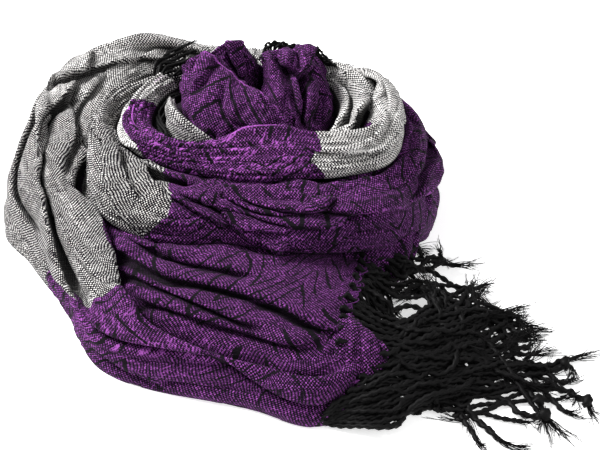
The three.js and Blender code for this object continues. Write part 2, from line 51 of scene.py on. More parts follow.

# Camera and its aim, millimetres from the part's origin
AIM = (8.9, -13.2, 28.0)
CAMERA_DISTANCE = 528.0
CAMERA_ELEVATION = 40.0
CAMERA_LENS = 60.0

# One row for each section across the winding: its sweep, in degrees clockwise from +X and counted on through
# the turns, then radius and height of the foot (outer lower edge), the crest (highest line) and the tuck
# (inner edge).
SECTIONS = [
    (30, 122, 0, 100, 6, 82, 4),
    (45, 132, 0, 104, 12, 84, 9),
    (58, 148, 0, 111, 21, 84, 17),
    (77, 181, 0, 118, 31, 84, 28),
    (88, 168, 0, 118, 33, 82, 29),
    (97, 162, 0, 118, 34, 80, 30),
    (116, 158, 0, 122, 35, 88, 31),
    (132, 139, 0, 116, 37, 90, 33),
    (150, 136, 0, 112, 41, 84, 36),
    (163, 144, 0, 112, 45, 82, 38),
    (180, 137, 0, 112, 55, 84, 42),
    (203, 132, 0, 109, 64, 80, 47),
    (225, 117, 0, 96, 65, 69, 45),
    (250, 99, 0, 79, 54, 60, 40),
    (290, 92, 0, 74, 47, 58, 38),
    (320, 93, 0, 75, 47, 60, 38),
    (345, 101, 0, 82, 48, 66, 40),
    (368, 109, 0, 92, 50, 74, 41),
    (380, 109, 0, 92, 50, 74, 41),
    (392, 108, 10, 91, 50, 73, 41),
    (404, 106, 22, 88, 51, 68, 42),
    (418, 102, 30, 80, 51, 60, 42),
    (434, 95, 34, 70, 52, 50, 43),
    (455, 88, 36, 64, 53, 46, 44),
    (478, 98, 37, 76, 54, 56, 45),
    (500, 102, 40, 86, 57, 66, 47),
    (523, 91, 46, 84, 61, 76, 54),
    (545, 84, 49, 77, 63, 69, 55),
    (580, 66, 50, 56, 61, 47, 54),
    (630, 55, 46, 47, 58, 38, 52),
    (680, 62, 48, 54, 65, 44, 57),
    (700, 73, 51, 66, 70, 47, 62),
    (715, 82, 52, 74, 71, 49, 60),
    (730, 86, 53, 77, 70, 50, 57),
    (750, 87, 54, 77, 67, 48, 55),
    (766, 76, 55, 60, 67, 44, 57),
    (784, 63, 54, 42, 67, 34, 58),
    (820, 58, 54, 41, 66, 34, 58),
    (853, 65, 56, 57, 65, 49, 58),
    (877, 73, 57, 66, 66, 56, 58),
    (896, 69, 58, 61, 69, 52, 60),
    (917, 58, 59, 51, 71, 43, 63),
]
LEAF_SECTIONS = [
    (836, 41, 52, 39, 60, 37, 56),
    (850, 45, 51, 42, 66, 38.5, 57),
    (874, 48, 50, 45, 71, 40, 59),
    (890, 46.5, 50, 44, 69, 40, 58),
]

# How nearly straight the outer side of a section runs from its foot to its crest, by sweep.
STRAIGHTNESS = [(738, 0), (770, 0.75), (835, 0.75), (862, 0)]

# Large folds along the winding: first and last sweep, lanes at the start, middle and end, how far the lip
# laps over, how deep the step is (positive: the outer side lies on top), how far it reaches to either side,
# and how sharply it turns.
FOLDS = [
    (186, 300, 0.24, 0.26, 0.22, 4.2, -4.2, 11, 2.0),
    (205, 330, 0.70, 0.72, 0.66, 4.2, 4.2, 10, 2.0),
    (250, 372, 0.45, 0.42, 0.52, 4.4, 4.2, 12, 2.0),
    (290, 396, 0.20, 0.24, 0.30, 4.2, -4.2, 10, 2.0),
    (530, 640, 0.40, 0.44, 0.40, 2.8, 2.4, 7, 1.6),
    (600, 700, 0.60, 0.56, 0.54, 3.0, -2.6, 7, 1.6),
    (690, 750, 0.34, 0.40, 0.34, 3.8, -3.6, 8, 1.8),
    (706, 776, 0.16, 0.30, 0.48, 3.4, -3.2, 8, 1.6),
    (728, 790, 0.80, 0.76, 0.66, 2.4, 2.0, 8, 1.6),
    (846, 912, 0.44, 0.40, 0.44, 2.4, 2.0, 6, 1.6),
]


def line_of(numbers):
    """A line on the winding, from sweeps that are each followed by a lane in hundredths."""
    return np.reshape(numbers, (-1, 2)) / (1, 100)


# The creases that can be followed one by one: depth of the step (positive where the outer side lies on top),
# how far the lip laps over, depth of the valley under the lip, reach and turn as above, then the line: a sweep
# and a lane in hundredths for each point. The ruffle runs along the second turn's lower side.
RUFFLE = (-3.2, 5, 5, 9, 1.5, 366, 25, 374, 26, 382, 28, 392, 31, 402, 35, 412, 37, 420, 31, 428, 25,
    436, 22, 446, 22, 453, 24, 459, 36, 466, 47, 474, 55, 482, 61)
CREASES = [
    (4, 4.6, 3.6, 9, 1.5, 116, 30, 121, 28, 126, 27.5, 131, 28.5, 137, 32, 144, 38, 151, 45, 157, 48,
        164, 53, 170, 57, 178, 59, 186, 64, 198, 69),
    (2.3, 3, 1.6, 9, 1.6, 178, 42, 184, 46, 189, 51, 195, 62, 203, 71, 211, 76, 220, 81, 230, 85, 240, 87),
    (3, 4.4, 16, 14, 2.4, 126, 66, 134, 68, 140, 68, 148, 67, 158, 72, 166, 79, 178, 88, 192, 93, 206, 93,
        220, 90),
    (3.8, 4.4, 3, 9, 1.7, 104, 42, 110, 44, 114, 46, 118, 53, 124, 62, 132, 68, 142, 71, 152, 74),
    (3.2, 4, 3, 9, 1.7, 70, 25, 78, 25.5, 84, 26, 91, 26.5, 97, 29.5, 103, 32.5, 109, 37, 113, 42, 118, 47,
        124, 50),
    (2.2, 3, 3.6, 8, 1.4, 158, 80, 166, 76, 172, 73, 177, 72, 184, 71, 192, 72),
    (-2.4, 3.4, 2.2, 8, 1.5, 80, 56, 86, 57, 92, 59, 100, 62, 108, 65, 116, 68, 124, 70, 132, 74),
    (-2.2, 3.2, 2, 7, 1.4, 82, 44, 90, 46, 96, 49, 101, 52, 109, 58, 118, 62, 126, 64.5),
    (-2, 2.8, 1.8, 7, 1.4, 84, 68, 92, 69, 100, 71, 110, 75, 120, 78, 128, 79),
    (-1.8, 2.6, 1.8, 7, 1.3, 72, 40, 80, 39.5, 88, 40, 96, 42, 104, 46, 112, 52, 120, 58),
    (-3.4, 4, 3, 9, 1.8, 98, 0, 102, 3, 107, 9, 112, 12, 116, 13.5, 122, 13, 129, 17, 138, 19, 150, 18,
        164, 20),
    (-1.8, 2.6, 2.4, 8, 1.6, 70, 12, 78, 14, 86, 17, 94, 24, 102, 25, 112, 26, 122, 25, 134, 24, 146, 27),
    (-2.6, 3.4, 2.2, 8, 1.6, 66, 34, 70, 38, 76, 46, 80, 51, 84, 54, 90, 54.5),
    (2, 2.8, 2.6, 8, 1.4, 142, 30, 150, 28, 160, 30, 172, 36, 184, 42, 198, 44),
    (1.8, 2.6, 2.4, 7, 1.4, 150, 62, 160, 66, 172, 72, 184, 76, 198, 78, 212, 76),
    (2, 2.6, 2.4, 7, 1.4, 176, 16, 190, 20, 206, 30, 222, 36, 240, 36),
    (-3.2, 4.4, 7, 10, 1.9, 476, 0, 480, 6, 488, 18, 492, 28, 496, 39, 501, 49, 506, 57, 514, 64, 526, 70,
        545, 72),
    (3, 4, 6, 9, 1.6, 474, 46, 482, 53, 487, 60, 492, 68, 500, 76, 512, 82, 530, 86),
    (-2.8, 3.6, 7, 9, 1.6, 470, 70, 478, 72, 486, 76, 494, 82, 504, 88),
    (2.8, 3.6, 7, 9, 1.5, 484, 36, 489, 42, 494, 52, 500, 62, 508, 70, 520, 76),
    (-3.8, 4, 3.2, 8, 1.5, 424, 2, 438, 6, 444, 8.5, 450, 11, 456, 19, 462, 29, 470, 41, 476, 50, 484, 57),
    (-2, 2.8, 2, 8, 1.4, 368, 42, 380, 43, 390, 45, 400, 49, 410, 51, 418, 47, 426, 41, 434, 37, 444, 37,
        452, 42, 460, 52, 468, 60),
    RUFFLE,
    (2.6, 3.2, 3, 8, 1.5, 388, 50, 400, 49, 410, 48.5, 416, 49, 424, 52, 432, 55.5, 444, 57.5, 457, 60,
        468, 66, 482, 77),
    (2.6, 3.2, 2.8, 8, 1.5, 376, 62, 388, 62, 398, 63, 406, 66, 415, 70, 424, 75, 432, 80, 444, 86),
    (-1.6, 2.4, 2.6, 7, 1.4, 400, 34, 410, 38, 420, 40, 432, 42, 444, 44, 456, 50),
    (-1.6, 2.4, 2.6, 7, 1.4, 416, 30, 426, 30, 436, 29, 446, 31, 456, 38, 464, 48, 472, 57),
    (1.6, 2.4, 2.4, 7, 1.4, 352, 36, 364, 37, 378, 37, 390, 34.5, 402, 31, 412, 26),
    (-4.2, 4.4, 7, 11, 1.8, 690, 84, 698, 82, 706, 79, 714, 77, 722, 75.5, 730, 75, 738, 76, 746, 79,
        754, 84),
    (3.6, 4.6, 7, 10, 1.6, 728, 50, 736, 56, 744, 61, 752, 64, 762, 66, 776, 66, 792, 66, 810, 66, 830, 66),
    (2.4, 3.2, 5, 9, 1.6, 696, 56, 704, 60, 714, 64, 724, 68, 734, 70),
    (-2.6, 3.4, 5, 9, 1.6, 700, 92, 708, 90, 718, 88, 728, 88, 738, 89, 750, 92),
    (-2.4, 3.4, 4.4, 8, 1.5, 736, 16, 744, 20, 752, 28, 760, 36, 768, 40, 778, 42),
    (-1.6, 2.4, 2.4, 7, 1.4, 360, 70, 374, 72, 388, 74, 402, 76, 414, 82),
]
CREASE_LINES = [(*row[:5], line_of(row[5:])) for row in CREASES]
RUFFLE_LINE = line_of(RUFFLE[5:])

# Places where the cloth is puffed up smooth: sweep, lane, and the half-lengths of the patch in each.
CALM = [
    (82, 0.64, 20, 0.15), (106, 0.33, 18, 0.07), (812, 0.36, 40, 0.3), (142, 0.56, 26, 0.08),
    (162, 0.34, 36, 0.12), (492, 0.5, 26, 0.4), (452, 0.3, 16, 0.2),
]

# Lesser folds are strewn between these, by rule: for each span of the winding, how many, their least and
# greatest length in degrees, and their depth.
STREWN = [
    (70, 160, 12, 18, 50, 1.1),
    (120, 260, 26, 26, 60, 1.6),
    (240, 392, 28, 26, 70, 1.7),
    (380, 500, 26, 16, 44, 1.4),
    (480, 640, 22, 22, 54, 1.4),
    (620, 765, 18, 20, 50, 1.2),
    (862, 915, 8, 16, 40, 0.9),
]

# Where each lane of the outer end stops, at the fringe.
HEM = [
    (0, 77), (0.12, 73), (0.2, 67), (0.26, 67), (0.34, 72),
    (0.47, 68), (0.56, 62), (0.66, 55), (0.8, 46), (1, 41),
]

# Where the weft changes colour: 1 where it is grey beyond the edge or -1 where it is grey before it, then the
# edge as (lane, sweep).
COLOUR_EDGES = [
    (1, [(0, 141), (0.18, 142), (0.22, 130), (0.31, 121), (0.36, 121), (0.48, 114), (0.56, 118), (0.7, 140),
        (1, 150)]),
    (-1, [(0, 274), (0.4, 281), (0.7, 272), (1, 279)]),
    (1, [(0, 481), (0.3, 475), (0.55, 477), (0.75, 487), (1, 491)]),
    (-1, [(0, 774), (0.2, 777), (0.45, 771), (1, 762)]),
    (1, [(0, 864), (0.12, 866), (0.24, 871), (0.34, 886), (0.5, 893), (1, 897)]),
]

# The puffed folds in the middle: points of the cloth, in the part's frame, three numbers for each. Each row
# runs up one line of the cloth, from its base over its highest edge and down the far side.
PUFFS = {
    "puff_front": [
        [-54, 68, 50, -57, 66, 60, -58, 64, 70, -57, 63, 76, -56, 62, 79.5, -52, 66, 74, -48, 68, 60],
        [-54, 52, 50, -57, 50, 61, -57, 51, 72, -53, 56, 83, -46, 60, 89, -42, 64, 84, -40, 66, 66],
        [-49, 37, 50, -51, 35, 60, -52, 38, 73, -45, 47, 84, -37, 57, 89, -35, 62, 83, -34, 64, 66],
        [-41, 26, 48, -45, 25, 59, -45, 28, 72, -38, 38, 82, -30, 52, 84, -29, 58, 77, -29, 62, 62],
        [-31, 22, 48, -33, 20, 58, -33, 22, 70, -27, 32, 78, -21, 45, 79, -20, 52, 72, -22, 58, 58],
        [-18, 23, 48, -19, 20, 57, -19, 21, 68, -15, 29, 76, -10.5, 38, 78.5, -11, 46, 70, -13, 52, 56],
        [-6, 24, 48, -7, 21, 57, -8, 21, 67, -5, 26, 72.5, -4, 32, 74, -5, 39, 66, -7, 45, 54],
        [8, 27, 48, 7, 24, 56, 6, 23, 62, 5, 24, 65, 4, 26, 66.5, 1, 32, 62, -2, 38, 53],
    ],
    "puff_back": [
        [-50, 64, 50, -51, 64, 64, -49, 65, 75, -47, 68, 79, -50, 74, 70, -52, 80, 50],
        [-40, 62, 50, -41, 61, 70, -39, 62, 82, -36, 67, 89.5, -40, 78, 72, -42, 86, 50],
        [-30, 60, 50, -31, 58, 70, -31, 60, 84, -29, 66, 93, -30, 80, 74, -31, 88, 50],
        [-24, 60, 50, -25, 59, 70, -25, 62, 82, -23, 68, 91, -21, 81, 72, -22, 87, 50],
        [-19, 61, 50, -20, 60, 66, -19, 63, 76, -17, 69, 80, -13, 80, 66, -12, 84, 50],
        [-14, 64, 50, -15, 65, 60, -14, 68, 68, -12, 72, 70, -8, 77, 60, -6, 80, 50],
    ],
    "puff_right": [
        [-12, 46, 50, -13, 52, 63, -12, 61, 74, -12, 70, 82, -13, 80, 68, -12, 85, 50],
        [-6, 38, 50, -5, 42, 64, -5, 54, 77, -5, 68, 86.5, -6, 82, 71, -6, 88, 50],
        [3, 33, 50, 3, 36, 64, 3, 50, 79, 2, 68, 88, 2, 84, 72, 2, 90, 50],
        [10, 31, 50, 10, 35, 64, 9, 50, 80, 9, 69, 88, 9, 84, 72, 10, 90, 50],
        [17, 33, 50, 17, 38, 63, 16, 53, 77, 15, 71, 86, 17, 84, 70, 18, 88, 50],
        [24, 40, 50, 25, 46, 60, 22, 60, 71, 19.5, 72, 80, 23, 81, 66, 25, 84, 50],
        [28, 52, 50, 28, 56, 58, 25, 66, 66, 21, 73, 72, 26, 77, 62, 29, 78, 50],
    ],
}

# Their creases: which side of the line lies on top, seen from the line's start (1 left, -1 right), depth,
# valley, reach and turn as for the winding, and the line as (row, place along the row).
PUFF_CREASES = [
    ("puff_front", 1, 3.2, 3.4, 9, 1.6, [(1.1, 4), (1.4, 3.4), (1.7, 2.9), (2, 2.3), (2.6, 1.8),
        (3.4, 1.35), (4.4, 1), (5.6, 0.9)]),
    ("puff_front", -1, 1.6, 2.2, 7, 1.4, [(2, 4.1), (2.3, 3.5), (2.4, 3), (2.2, 2.4)]),
    ("puff_front", 1, 1.2, 1.6, 6, 1.3, [(3.2, 3.9), (3.6, 3.2), (3.9, 2.6), (4.6, 2.1), (5.6, 1.7),
        (6.4, 1.6)]),
    ("puff_front", 1, 1, 1.8, 6, 1.3, [(0.6, 3.4), (0.9, 2.6), (1.4, 2), (2, 1.3), (2.8, 0.9)]),
    ("puff_front", -1, 1.4, 1.8, 6, 1.3, [(4.6, 3.95), (5.2, 3.4), (6, 3), (6.6, 2.6)]),
    ("puff_back", 1, 2.4, 3.6, 7, 1.4, [(1.2, 3.1), (1.8, 2.6), (2.3, 2.1), (2.9, 1.6), (3.3, 1)]),
    ("puff_back", -1, 1.8, 2.6, 6, 1.3, [(3, 3.4), (3.2, 2.7), (3.6, 2.1), (3.9, 1.4)]),
    ("puff_back", 1, 1.4, 2, 6, 1.3, [(0.6, 2.8), (1, 2.3), (1.5, 1.8), (2, 1.2)]),
    ("puff_right", -1, 2.4, 3.6, 7, 1.5, [(0.6, 3), (1, 2.4), (1.4, 1.95), (1.9, 1.5), (2.5, 0.9),
        (2.8, 0.4)]),
    ("puff_right", -1, 2.6, 3.8, 7, 1.5, [(1.7, 2.35), (2.3, 2.1), (2.8, 1.8), (3.05, 1.4), (3, 0.9),
        (2.9, 0.4)]),
    ("puff_right", 1, 3.2, 3.4, 8, 1.6, [(0.9, 2.6), (1.6, 2.42), (2.3, 2.3), (3.1, 2.15), (4, 2.3),
        (5, 2.6)]),
    ("puff_right", 1, 2.6, 4.2, 7, 1.5, [(4.1, 2.25), (3.9, 1.8), (3.65, 1.3), (3.6, 0.9), (3.7, 0.4)]),
    ("puff_right", 1, 2.2, 3.2, 7, 1.5, [(5.2, 1.9), (4.9, 1.4), (4.6, 1), (4.5, 0.5)]),
    ("puff_right", -1, 1.8, 2.4, 6, 1.4, [(1.3, 1.7), (1.5, 1.2), (1.9, 0.8), (2.1, 0.4)]),
    ("puff_right", 1, 1.6, 2.4, 6, 1.4, [(2.4, 3.6), (2.7, 3), (3.2, 2.5), (3.4, 2.2)]),
    ("puff_right", -1, 1.6, 2.4, 6, 1.4, [(4.6, 3.4), (4.3, 2.9), (4.1, 2.5)]),
]

# The cords of the outer end that can be followed one by one: the lane where the cord leaves the hem, then its
# points, in the part's frame, three numbers for each.
CORDS = [
    (0.01, 45, -124, 3, 59, -118, 3, 71, -113, 3, 80, -116, 2, 84, -122, 1.5, 90, -134, 1.4),
    (0.02, 46, -123, 5, 61, -116, 5, 74, -112, 4, 84, -115, 4, 88, -119, 3, 93, -124, 1.5, 98, -134, 1.4),
    (0.03, 48, -121, 6, 64, -114, 6, 79, -109, 4, 94, -108, 2, 105, -110, 1.5, 112, -119, 1.8,
        122, -122, 1.5, 128, -128, 1.4),
    (0.04, 48, -119, 7, 65, -113, 7, 82, -108, 5, 99, -105, 2, 111, -104, 2, 120, -109, 1.5, 125, -121, 1.8,
        129, -128, 1.4),
    (0.05, 48, -118, 8, 66, -111, 8, 83, -106, 6, 101, -105, 4, 118, -102, 3, 130, -104, 2, 138, -107, 2,
        144, -112, 1.5, 144, -123, 1.4),
    (0.07, 48, -115, 9, 67, -108, 8, 85, -104, 7, 104, -102, 4, 120, -105, 3, 128, -110, 1.6,
        134, -118, 1.4),
    (0.09, 49, -113, 10, 69, -106, 9, 88, -100, 7, 107, -97, 5, 125, -94, 3, 136, -91, 2.5, 144, -90, 1.4),
    (0.11, 50, -110, 10, 70, -103, 9, 90, -97, 7, 109, -93, 5, 122, -91, 4, 130, -97, 2, 138, -100, 1.4),
    (0.13, 49, -108, 11, 69, -101, 10, 90, -95, 8, 108, -91, 6, 121, -89, 4, 133, -88, 2, 142, -84, 1.4),
    (0.16, 46, -105, 12, 68, -98, 11, 88, -92, 9, 103, -90, 7, 114, -82, 4, 123, -82, 2),
    (0.19, 46, -102, 13, 68, -95, 12, 87, -89, 10, 103, -83, 7, 114, -76, 4, 122, -72, 2),
    (0.23, 48, -98, 14, 68, -92, 13, 86, -86, 11, 101, -78, 8, 111, -72, 5, 119, -68, 3),
    (0.27, 50, -96, 15, 68, -90, 14, 84, -83, 12, 98, -75, 9, 109, -67, 6, 118, -62, 4),
    (0.31, 51, -93, 16, 68, -87, 15, 83, -79, 12, 98, -69, 9, 110, -60, 7, 118, -58, 5, 121, -62, 4),
    (0.35, 51, -89, 16, 67, -83, 15, 81, -76, 13, 96, -66, 10, 107, -59, 8, 114, -59, 6),
    (0.39, 51, -85, 17, 66, -80, 15, 81, -73, 13, 94, -65, 10, 103, -60, 8, 109, -61, 6),
    (0.43, 51, -81, 17, 66, -76, 15, 78, -70, 13, 90, -61, 11, 97, -51, 9, 101, -44, 7),
    (0.46, 50, -78, 17, 64, -74, 15, 77, -67, 13, 86, -58, 11, 93, -49, 10, 98, -40, 8),
    (0.5, 50, -73, 16, 63, -70, 14, 75, -64, 12, 80, -56, 11, 78, -48, 10, 73, -43, 9, 66, -42, 7),
    (0.54, 48, -69, 15, 60, -67, 14, 72, -62, 12, 83, -51, 10, 91, -41, 9, 98, -36, 7),
    (0.58, 52, -62, 13, 62, -58, 12, 72, -59, 10, 79, -64, 10, 85, -67, 9),
    (0.62, 54, -56, 12, 68, -51, 10, 75, -50, 9, 78, -59, 9, 83, -66, 9),
    (0.66, 56, -50, 11, 67, -43, 9, 77, -44, 8, 81, -53, 8, 88, -60, 8),
    (0.7, 56, -45, 11, 70, -38, 9, 81, -40, 8, 86, -49, 8, 94, -53, 6),
    (0.74, 58, -38, 12, 68, -31, 10, 78, -30, 8, 88, -35, 6, 96, -36, 5),
    (0.78, 58, -36, 12, 66, -27, 10, 76, -23, 8, 84, -24, 6, 90, -23, 4),
    (0.82, 59, -31, 12, 66, -24, 11, 74, -20, 8, 82, -16, 6, 89, -13, 4),
    (0.86, 60, -26, 12, 66, -21, 11, 73, -17, 9, 81, -15, 6, 87, -12, 4),
    (0.9, 61, -22, 11, 66, -15, 10, 72, -9, 7, 76, -7, 5),
    (0.94, 62, -18, 10, 68, -12, 9, 73, -7, 6, 78, -8, 4),
    (0.98, 64, -17, 8, 69, -11, 6, 74, -7, 4),
]
CORD_LINES = [(row[0], np.reshape(row[1:], (-1, 3)).astype(float)) for row in CORDS]
KNOTTED_LANES = (0.03, 0.04, 0.05, 0.09)  # cords with a knot near the tip
FILLING_CORDS = 66  # more cords, laid between neighbours in the table
SHORT_CORDS = 34  # loose ones along the upper half of the hem
UPPER_THREADS, LOWER_THREADS, TOP_THREADS = 16, 14, 22  # at the inner end
HEM_LOOPS = 240

# Two corners of the outer end that the cords lie on: points of the cloth, each row running down to its edge
HEM_CORNERS = {
    "corner_back": [
        [27, -14, 20, 28.9, -19.1, 25, 31, -25, 22, 32.9, -30.1, 18, 35, -38, 12, 36.5, -43.5, 4],
        [45, -14, 18, 45.6, -19, 24, 47, -24, 21, 48.2, -29, 17, 47, -35, 10, 45, -39.2, 2.5],
        [61, -12, 16, 61.7, -17, 22, 62, -21, 18, 61.8, -24.1, 13, 59, -29, 7, 56, -33.6, 2],
        [72, -2, 14, 73.2, -8, 19, 73.5, -10, 14, 72.8, -11.6, 9, 71, -15.5, 5, 68.8, -19.5, 2],
    ],
    "corner_front": [
        [22, -74, 25, 19, -80, 25, 17, -88, 22, 15, -97, 17, 14.5, -105, 12, 14.5, -111, 6],
        [34, -76, 25, 34, -82, 27.5, 34, -89, 26.5, 33.5, -96, 23, 33, -102, 17.5, 32.4, -108, 10],
        [48, -89, 18, 49, -91, 20, 50, -94, 20, 50.5, -97, 18, 50, -100, 15, 48.6, -103, 10],
    ],
}

CORD_RADIUS = 1.3
THREAD_RADIUS = 0.75
LOOP_RADIUS = 0.22
CORD_STEP = 0.8  # between the rings of a cord
PLY_LOBE = 0.34  # how far the two plies of a cord stand out


def ramp(x):
    """From 0 to 1, with level ends."""
    t = np.clip(x, 0, 1)
    return t * t * (3 - 2 * t)


def curve_through(rows, column, at):
    """A smooth curve through one column of a table, with slopes from the neighbouring rows."""
    rows = np.asarray(rows, float)
    x, y = rows[:, 0], rows[:, column]
    last = len(x) - 1
    before = np.maximum(np.arange(len(x)) - 1, 0)
    after = np.minimum(np.arange(len(x)) + 1, last)
    slope = (y[after] - y[before]) / (x[after] - x[before])
    i = np.clip(np.searchsorted(x, at, side="right") - 1, 0, last - 1)
    h = x[i + 1] - x[i]
    t = (at - x[i]) / h
    return (
        (2 * t**3 - 3 * t**2 + 1) * y[i]
        + (t**3 - 2 * t**2 + t) * h * slope[i]
        + (-2 * t**3 + 3 * t**2) * y[i + 1]
        + (t**3 - t**2) * h * slope[i + 1]
    )


def line_through(rows, at):
    rows = np.asarray(rows, float)
    return np.interp(at, rows[:, 0], rows[:, 1])


def lattice_noise(x, y, seed):
    """Smooth gradient noise of two coordinates, about -0.7 to 0.7."""
    spin = np.random.default_rng(seed).random((256, 256)) * 2 * np.pi
    xi, yi = np.floor(x).astype(int), np.floor(y).astype(int)
    fx, fy = x - xi, y - yi

    def corner(dx, dy):
        angle = spin[(xi + dx) % 256, (yi + dy) % 256]
        return np.cos(angle) * (fx - dx) + np.sin(angle) * (fy - dy)

    ux, uy = (t**3 * (t * (t * 6 - 15) + 10) for t in (fx, fy))
    low = corner(0, 0) * (1 - ux) + corner(1, 0) * ux
    high = corner(0, 1) * (1 - ux) + corner(1, 1) * ux
    return low * (1 - uy) + high * uy


def bare_section(rows, sweep, lane):
    """Radius and height of the smooth form. Lanes below 0 roll under at the foot, over 1 hang at the tuck."""
    foot_r, foot_z, crest_r, crest_z, tuck_r, tuck_z = (curve_through(rows, k, sweep) for k in range(1, 7))
    climb = np.clip(lane / CREST_LANE, 0, 1)
    rise = climb * np.pi / 2
    fall = np.clip((lane - CREST_LANE) / (1 - CREST_LANE), 0, 1) * np.pi / 2
    straight = line_through(STRAIGHTNESS, sweep)
    inward = (1 - np.cos(rise)) * (1 - straight) + climb * straight
    upward = np.sin(rise) * (1 - straight) + climb * straight
    outer = foot_r + (crest_r - foot_r) * inward, foot_z + (crest_z - foot_z) * upward
    inner = crest_r + (tuck_r - crest_r) * np.sin(fall), crest_z + (tuck_z - crest_z) * (1 - np.cos(fall))
    radius, height = (np.where(lane < CREST_LANE, a, b) for a, b in zip(outer, inner))
    under = np.clip(-lane / 0.12, 0, 1) * np.pi / 2
    radius = radius - 6 * (1 - np.cos(under))
    height = height - 5 * np.sin(under)
    past = np.clip((lane - 1) / 0.1, 0, 1)
    return radius - 1.0 * past, height - 8 * past


def strewn_folds():
    """Lesser folds, in the columns of the large ones."""
    rng = np.random.default_rng(5)
    rows = []
    for start, stop, count, least, most, depth in STREWN:
        for k in range(count):
            length = rng.uniform(least, most)
            begin = rng.uniform(start, max(start + 1, stop - length))
            lane = 0.05 + 0.9 * ((k * 0.618) % 1)
            drift = rng.uniform(-0.09, 0.09, 2)
            size = depth * rng.uniform(0.5, 1.3)
            side = rng.choice([-1, 1])
            reach = rng.uniform(3.5, 6.5)
            lanes = (lane, lane + drift[0], lane + drift[1])
            rows.append((begin, begin + length, *lanes, 1.5 * size, side * size, reach, 1.1))
    return rows


ALL_FOLDS = FOLDS + strewn_folds()


def lapped(across, drop, lap, reach, turn):
    """How far the cloth below a fold's lip runs out past it, and how much lies under the lip (0 to 1)."""
    low = across * np.sign(drop)
    probe = np.linspace(0, reach, 80)
    overhang = lap * np.tanh(probe / turn) * np.exp(-((probe / reach) ** 2)) - probe
    at = max(probe[np.argmax(overhang)], 0.4)
    past = low - lap * np.tanh(low / turn) * np.exp(-((low / reach) ** 2)) - overhang.max()
    return np.where(low > at, np.maximum(past, 0), 0), ramp((low + at) / (0.7 * at))


def ends(share, part):
    """Fades out a fold over a part of its length at either end."""
    return ramp(share / part) * ramp((1 - share) / part)


def cloth_section(rows, sweep, lane, folds):
    """Radius and height on the folded cloth, the outward direction, the fade at the edges and the painted
    shade under the lips of folds and creases.
    """
    radius, height = bare_section(rows, sweep, lane)
    r0, z0 = bare_section(rows, sweep, lane - STEP_IN_LANE)
    r1, z1 = bare_section(rows, sweep, lane + STEP_IN_LANE)
    span = np.maximum(np.hypot(r1 - r0, z1 - z0), 1e-6)
    along_r, along_z = (r1 - r0) / span, (z1 - z0) / span
    out_r, out_z = along_z, -along_r
    fade = ramp(lane / 0.07) * ramp((1 - lane) / 0.14)
    painted_shade = np.zeros(lane.shape)

    def press(here, strength, drop, lap, reach, turn, across, sink=0):
        amount = -np.tanh(across / turn) * np.exp(-((across / reach) ** 2)) * strength
        radius[here] += amount * (along_r[here] * lap + out_r[here] * drop) + out_r[here] * sink
        height[here] += amount * (along_z[here] * lap + out_z[here] * drop) + out_z[here] * sink

    for start, stop, lane_a, lane_b, lane_c, lap, drop, reach, turn in folds:
        course = (sweep - start) / (stop - start)
        here = (course > 0) & (course < 1)
        if not here.any():
            continue
        c, v = course[here], lane[here]
        middle = 2 * lane_b - (lane_a + lane_c) / 2
        centre = (1 - c) ** 2 * lane_a + 2 * (1 - c) * c * middle + c**2 * lane_c
        across = (v - centre) * CLOTH_WIDTH
        still = 1 - 0.85 * calmness(sweep[here], v)
        press(here, ends(c, 0.25) * fade[here] * still, drop, lap, reach, turn, across)
        # Painted shade on the cloth under each fold's lip
        past, under = lapped(across, drop, lap, reach, turn)
        foot = np.exp(-past / 1.5) * under * ramp(c / 0.25) * ramp((1 - c) / 0.25)
        painted_shade[here] = np.maximum(painted_shade[here], foot * fade[here] * still * min(1.0, abs(drop) / 4.2))
    for drop, lap, valley, reach, turn, line in CREASE_LINES if folds is ALL_FOLDS else ():
        start, stop = line[0][0], line[-1][0]
        here = (sweep > start) & (sweep < stop)
        if not here.any():
            continue
        c = (sweep[here] - start) / (stop - start)
        across = (lane[here] - curve_through(line, 1, sweep[here])) * CLOTH_WIDTH
        strength = ends(c, 0.2) * fade[here]
        past, under = lapped(across, drop, lap, reach, turn)
        sink = -valley * np.exp(-past / (0.22 * reach)) * under
        sink = sink * ramp(np.sign(drop) * across / turn) * strength
        press(here, strength, drop, lap, reach, turn, across, sink)
        # Painted shade under each crease's lip; on the front it stays fully dark for a stretch past the lip
        shaded = 0.4 * max(-drop, 0) * ramp((np.sin(np.radians(sweep[here])) - 0.3) / 0.4)
        deep = min(1.0, (abs(drop) / 3.0) ** 1.2 + 0.1)
        dark = np.exp(-np.maximum(past - shaded, 0) / 1.2) * under * strength * deep
        painted_shade[here] = np.maximum(painted_shade[here], dark)
    return radius, height, out_r, out_z, fade, painted_shade


def crumple(along, across, seed):
    """Height of the cloth's own wrinkles at a place on it, both coordinates in millimetres, and the painted
    shade in their creases.
    """
    bend = 5 * lattice_noise(along / 45, across / 34, seed)
    puffs = np.abs(lattice_noise(along / 66, (across + bend) / 13, seed + 1)) ** 0.85
    pleats = np.abs(lattice_noise(along / 30, (across + bend) / 6.2, seed + 2)) ** 0.9
    fine = lattice_noise(along / 10, across / 3.4, seed + 3)
    knocks = lattice_noise(along / 6, across / 6, seed + 4)
    # Painted shade in the wrinkles' creases
    crease_shade = np.maximum(0.55 * np.exp(-puffs / 0.07), 0.35 * np.exp(-pleats / 0.08))
    return 5.4 * (puffs - 0.36) + 2.6 * (pleats - 0.30) + 0.45 * fine + 0.35 * knocks, crease_shade


def calmness(sweep, lane):
    """1 in the middle of a smooth place, 0 away from them."""
    calm = np.zeros(sweep.shape)
    for at_sweep, at_lane, half_sweep, half_lane in CALM:
        away = ((sweep - at_sweep) / half_sweep) ** 2 + ((lane - at_lane) / half_lane) ** 2
        calm = np.maximum(calm, ramp(1.5 - away))
    return calm


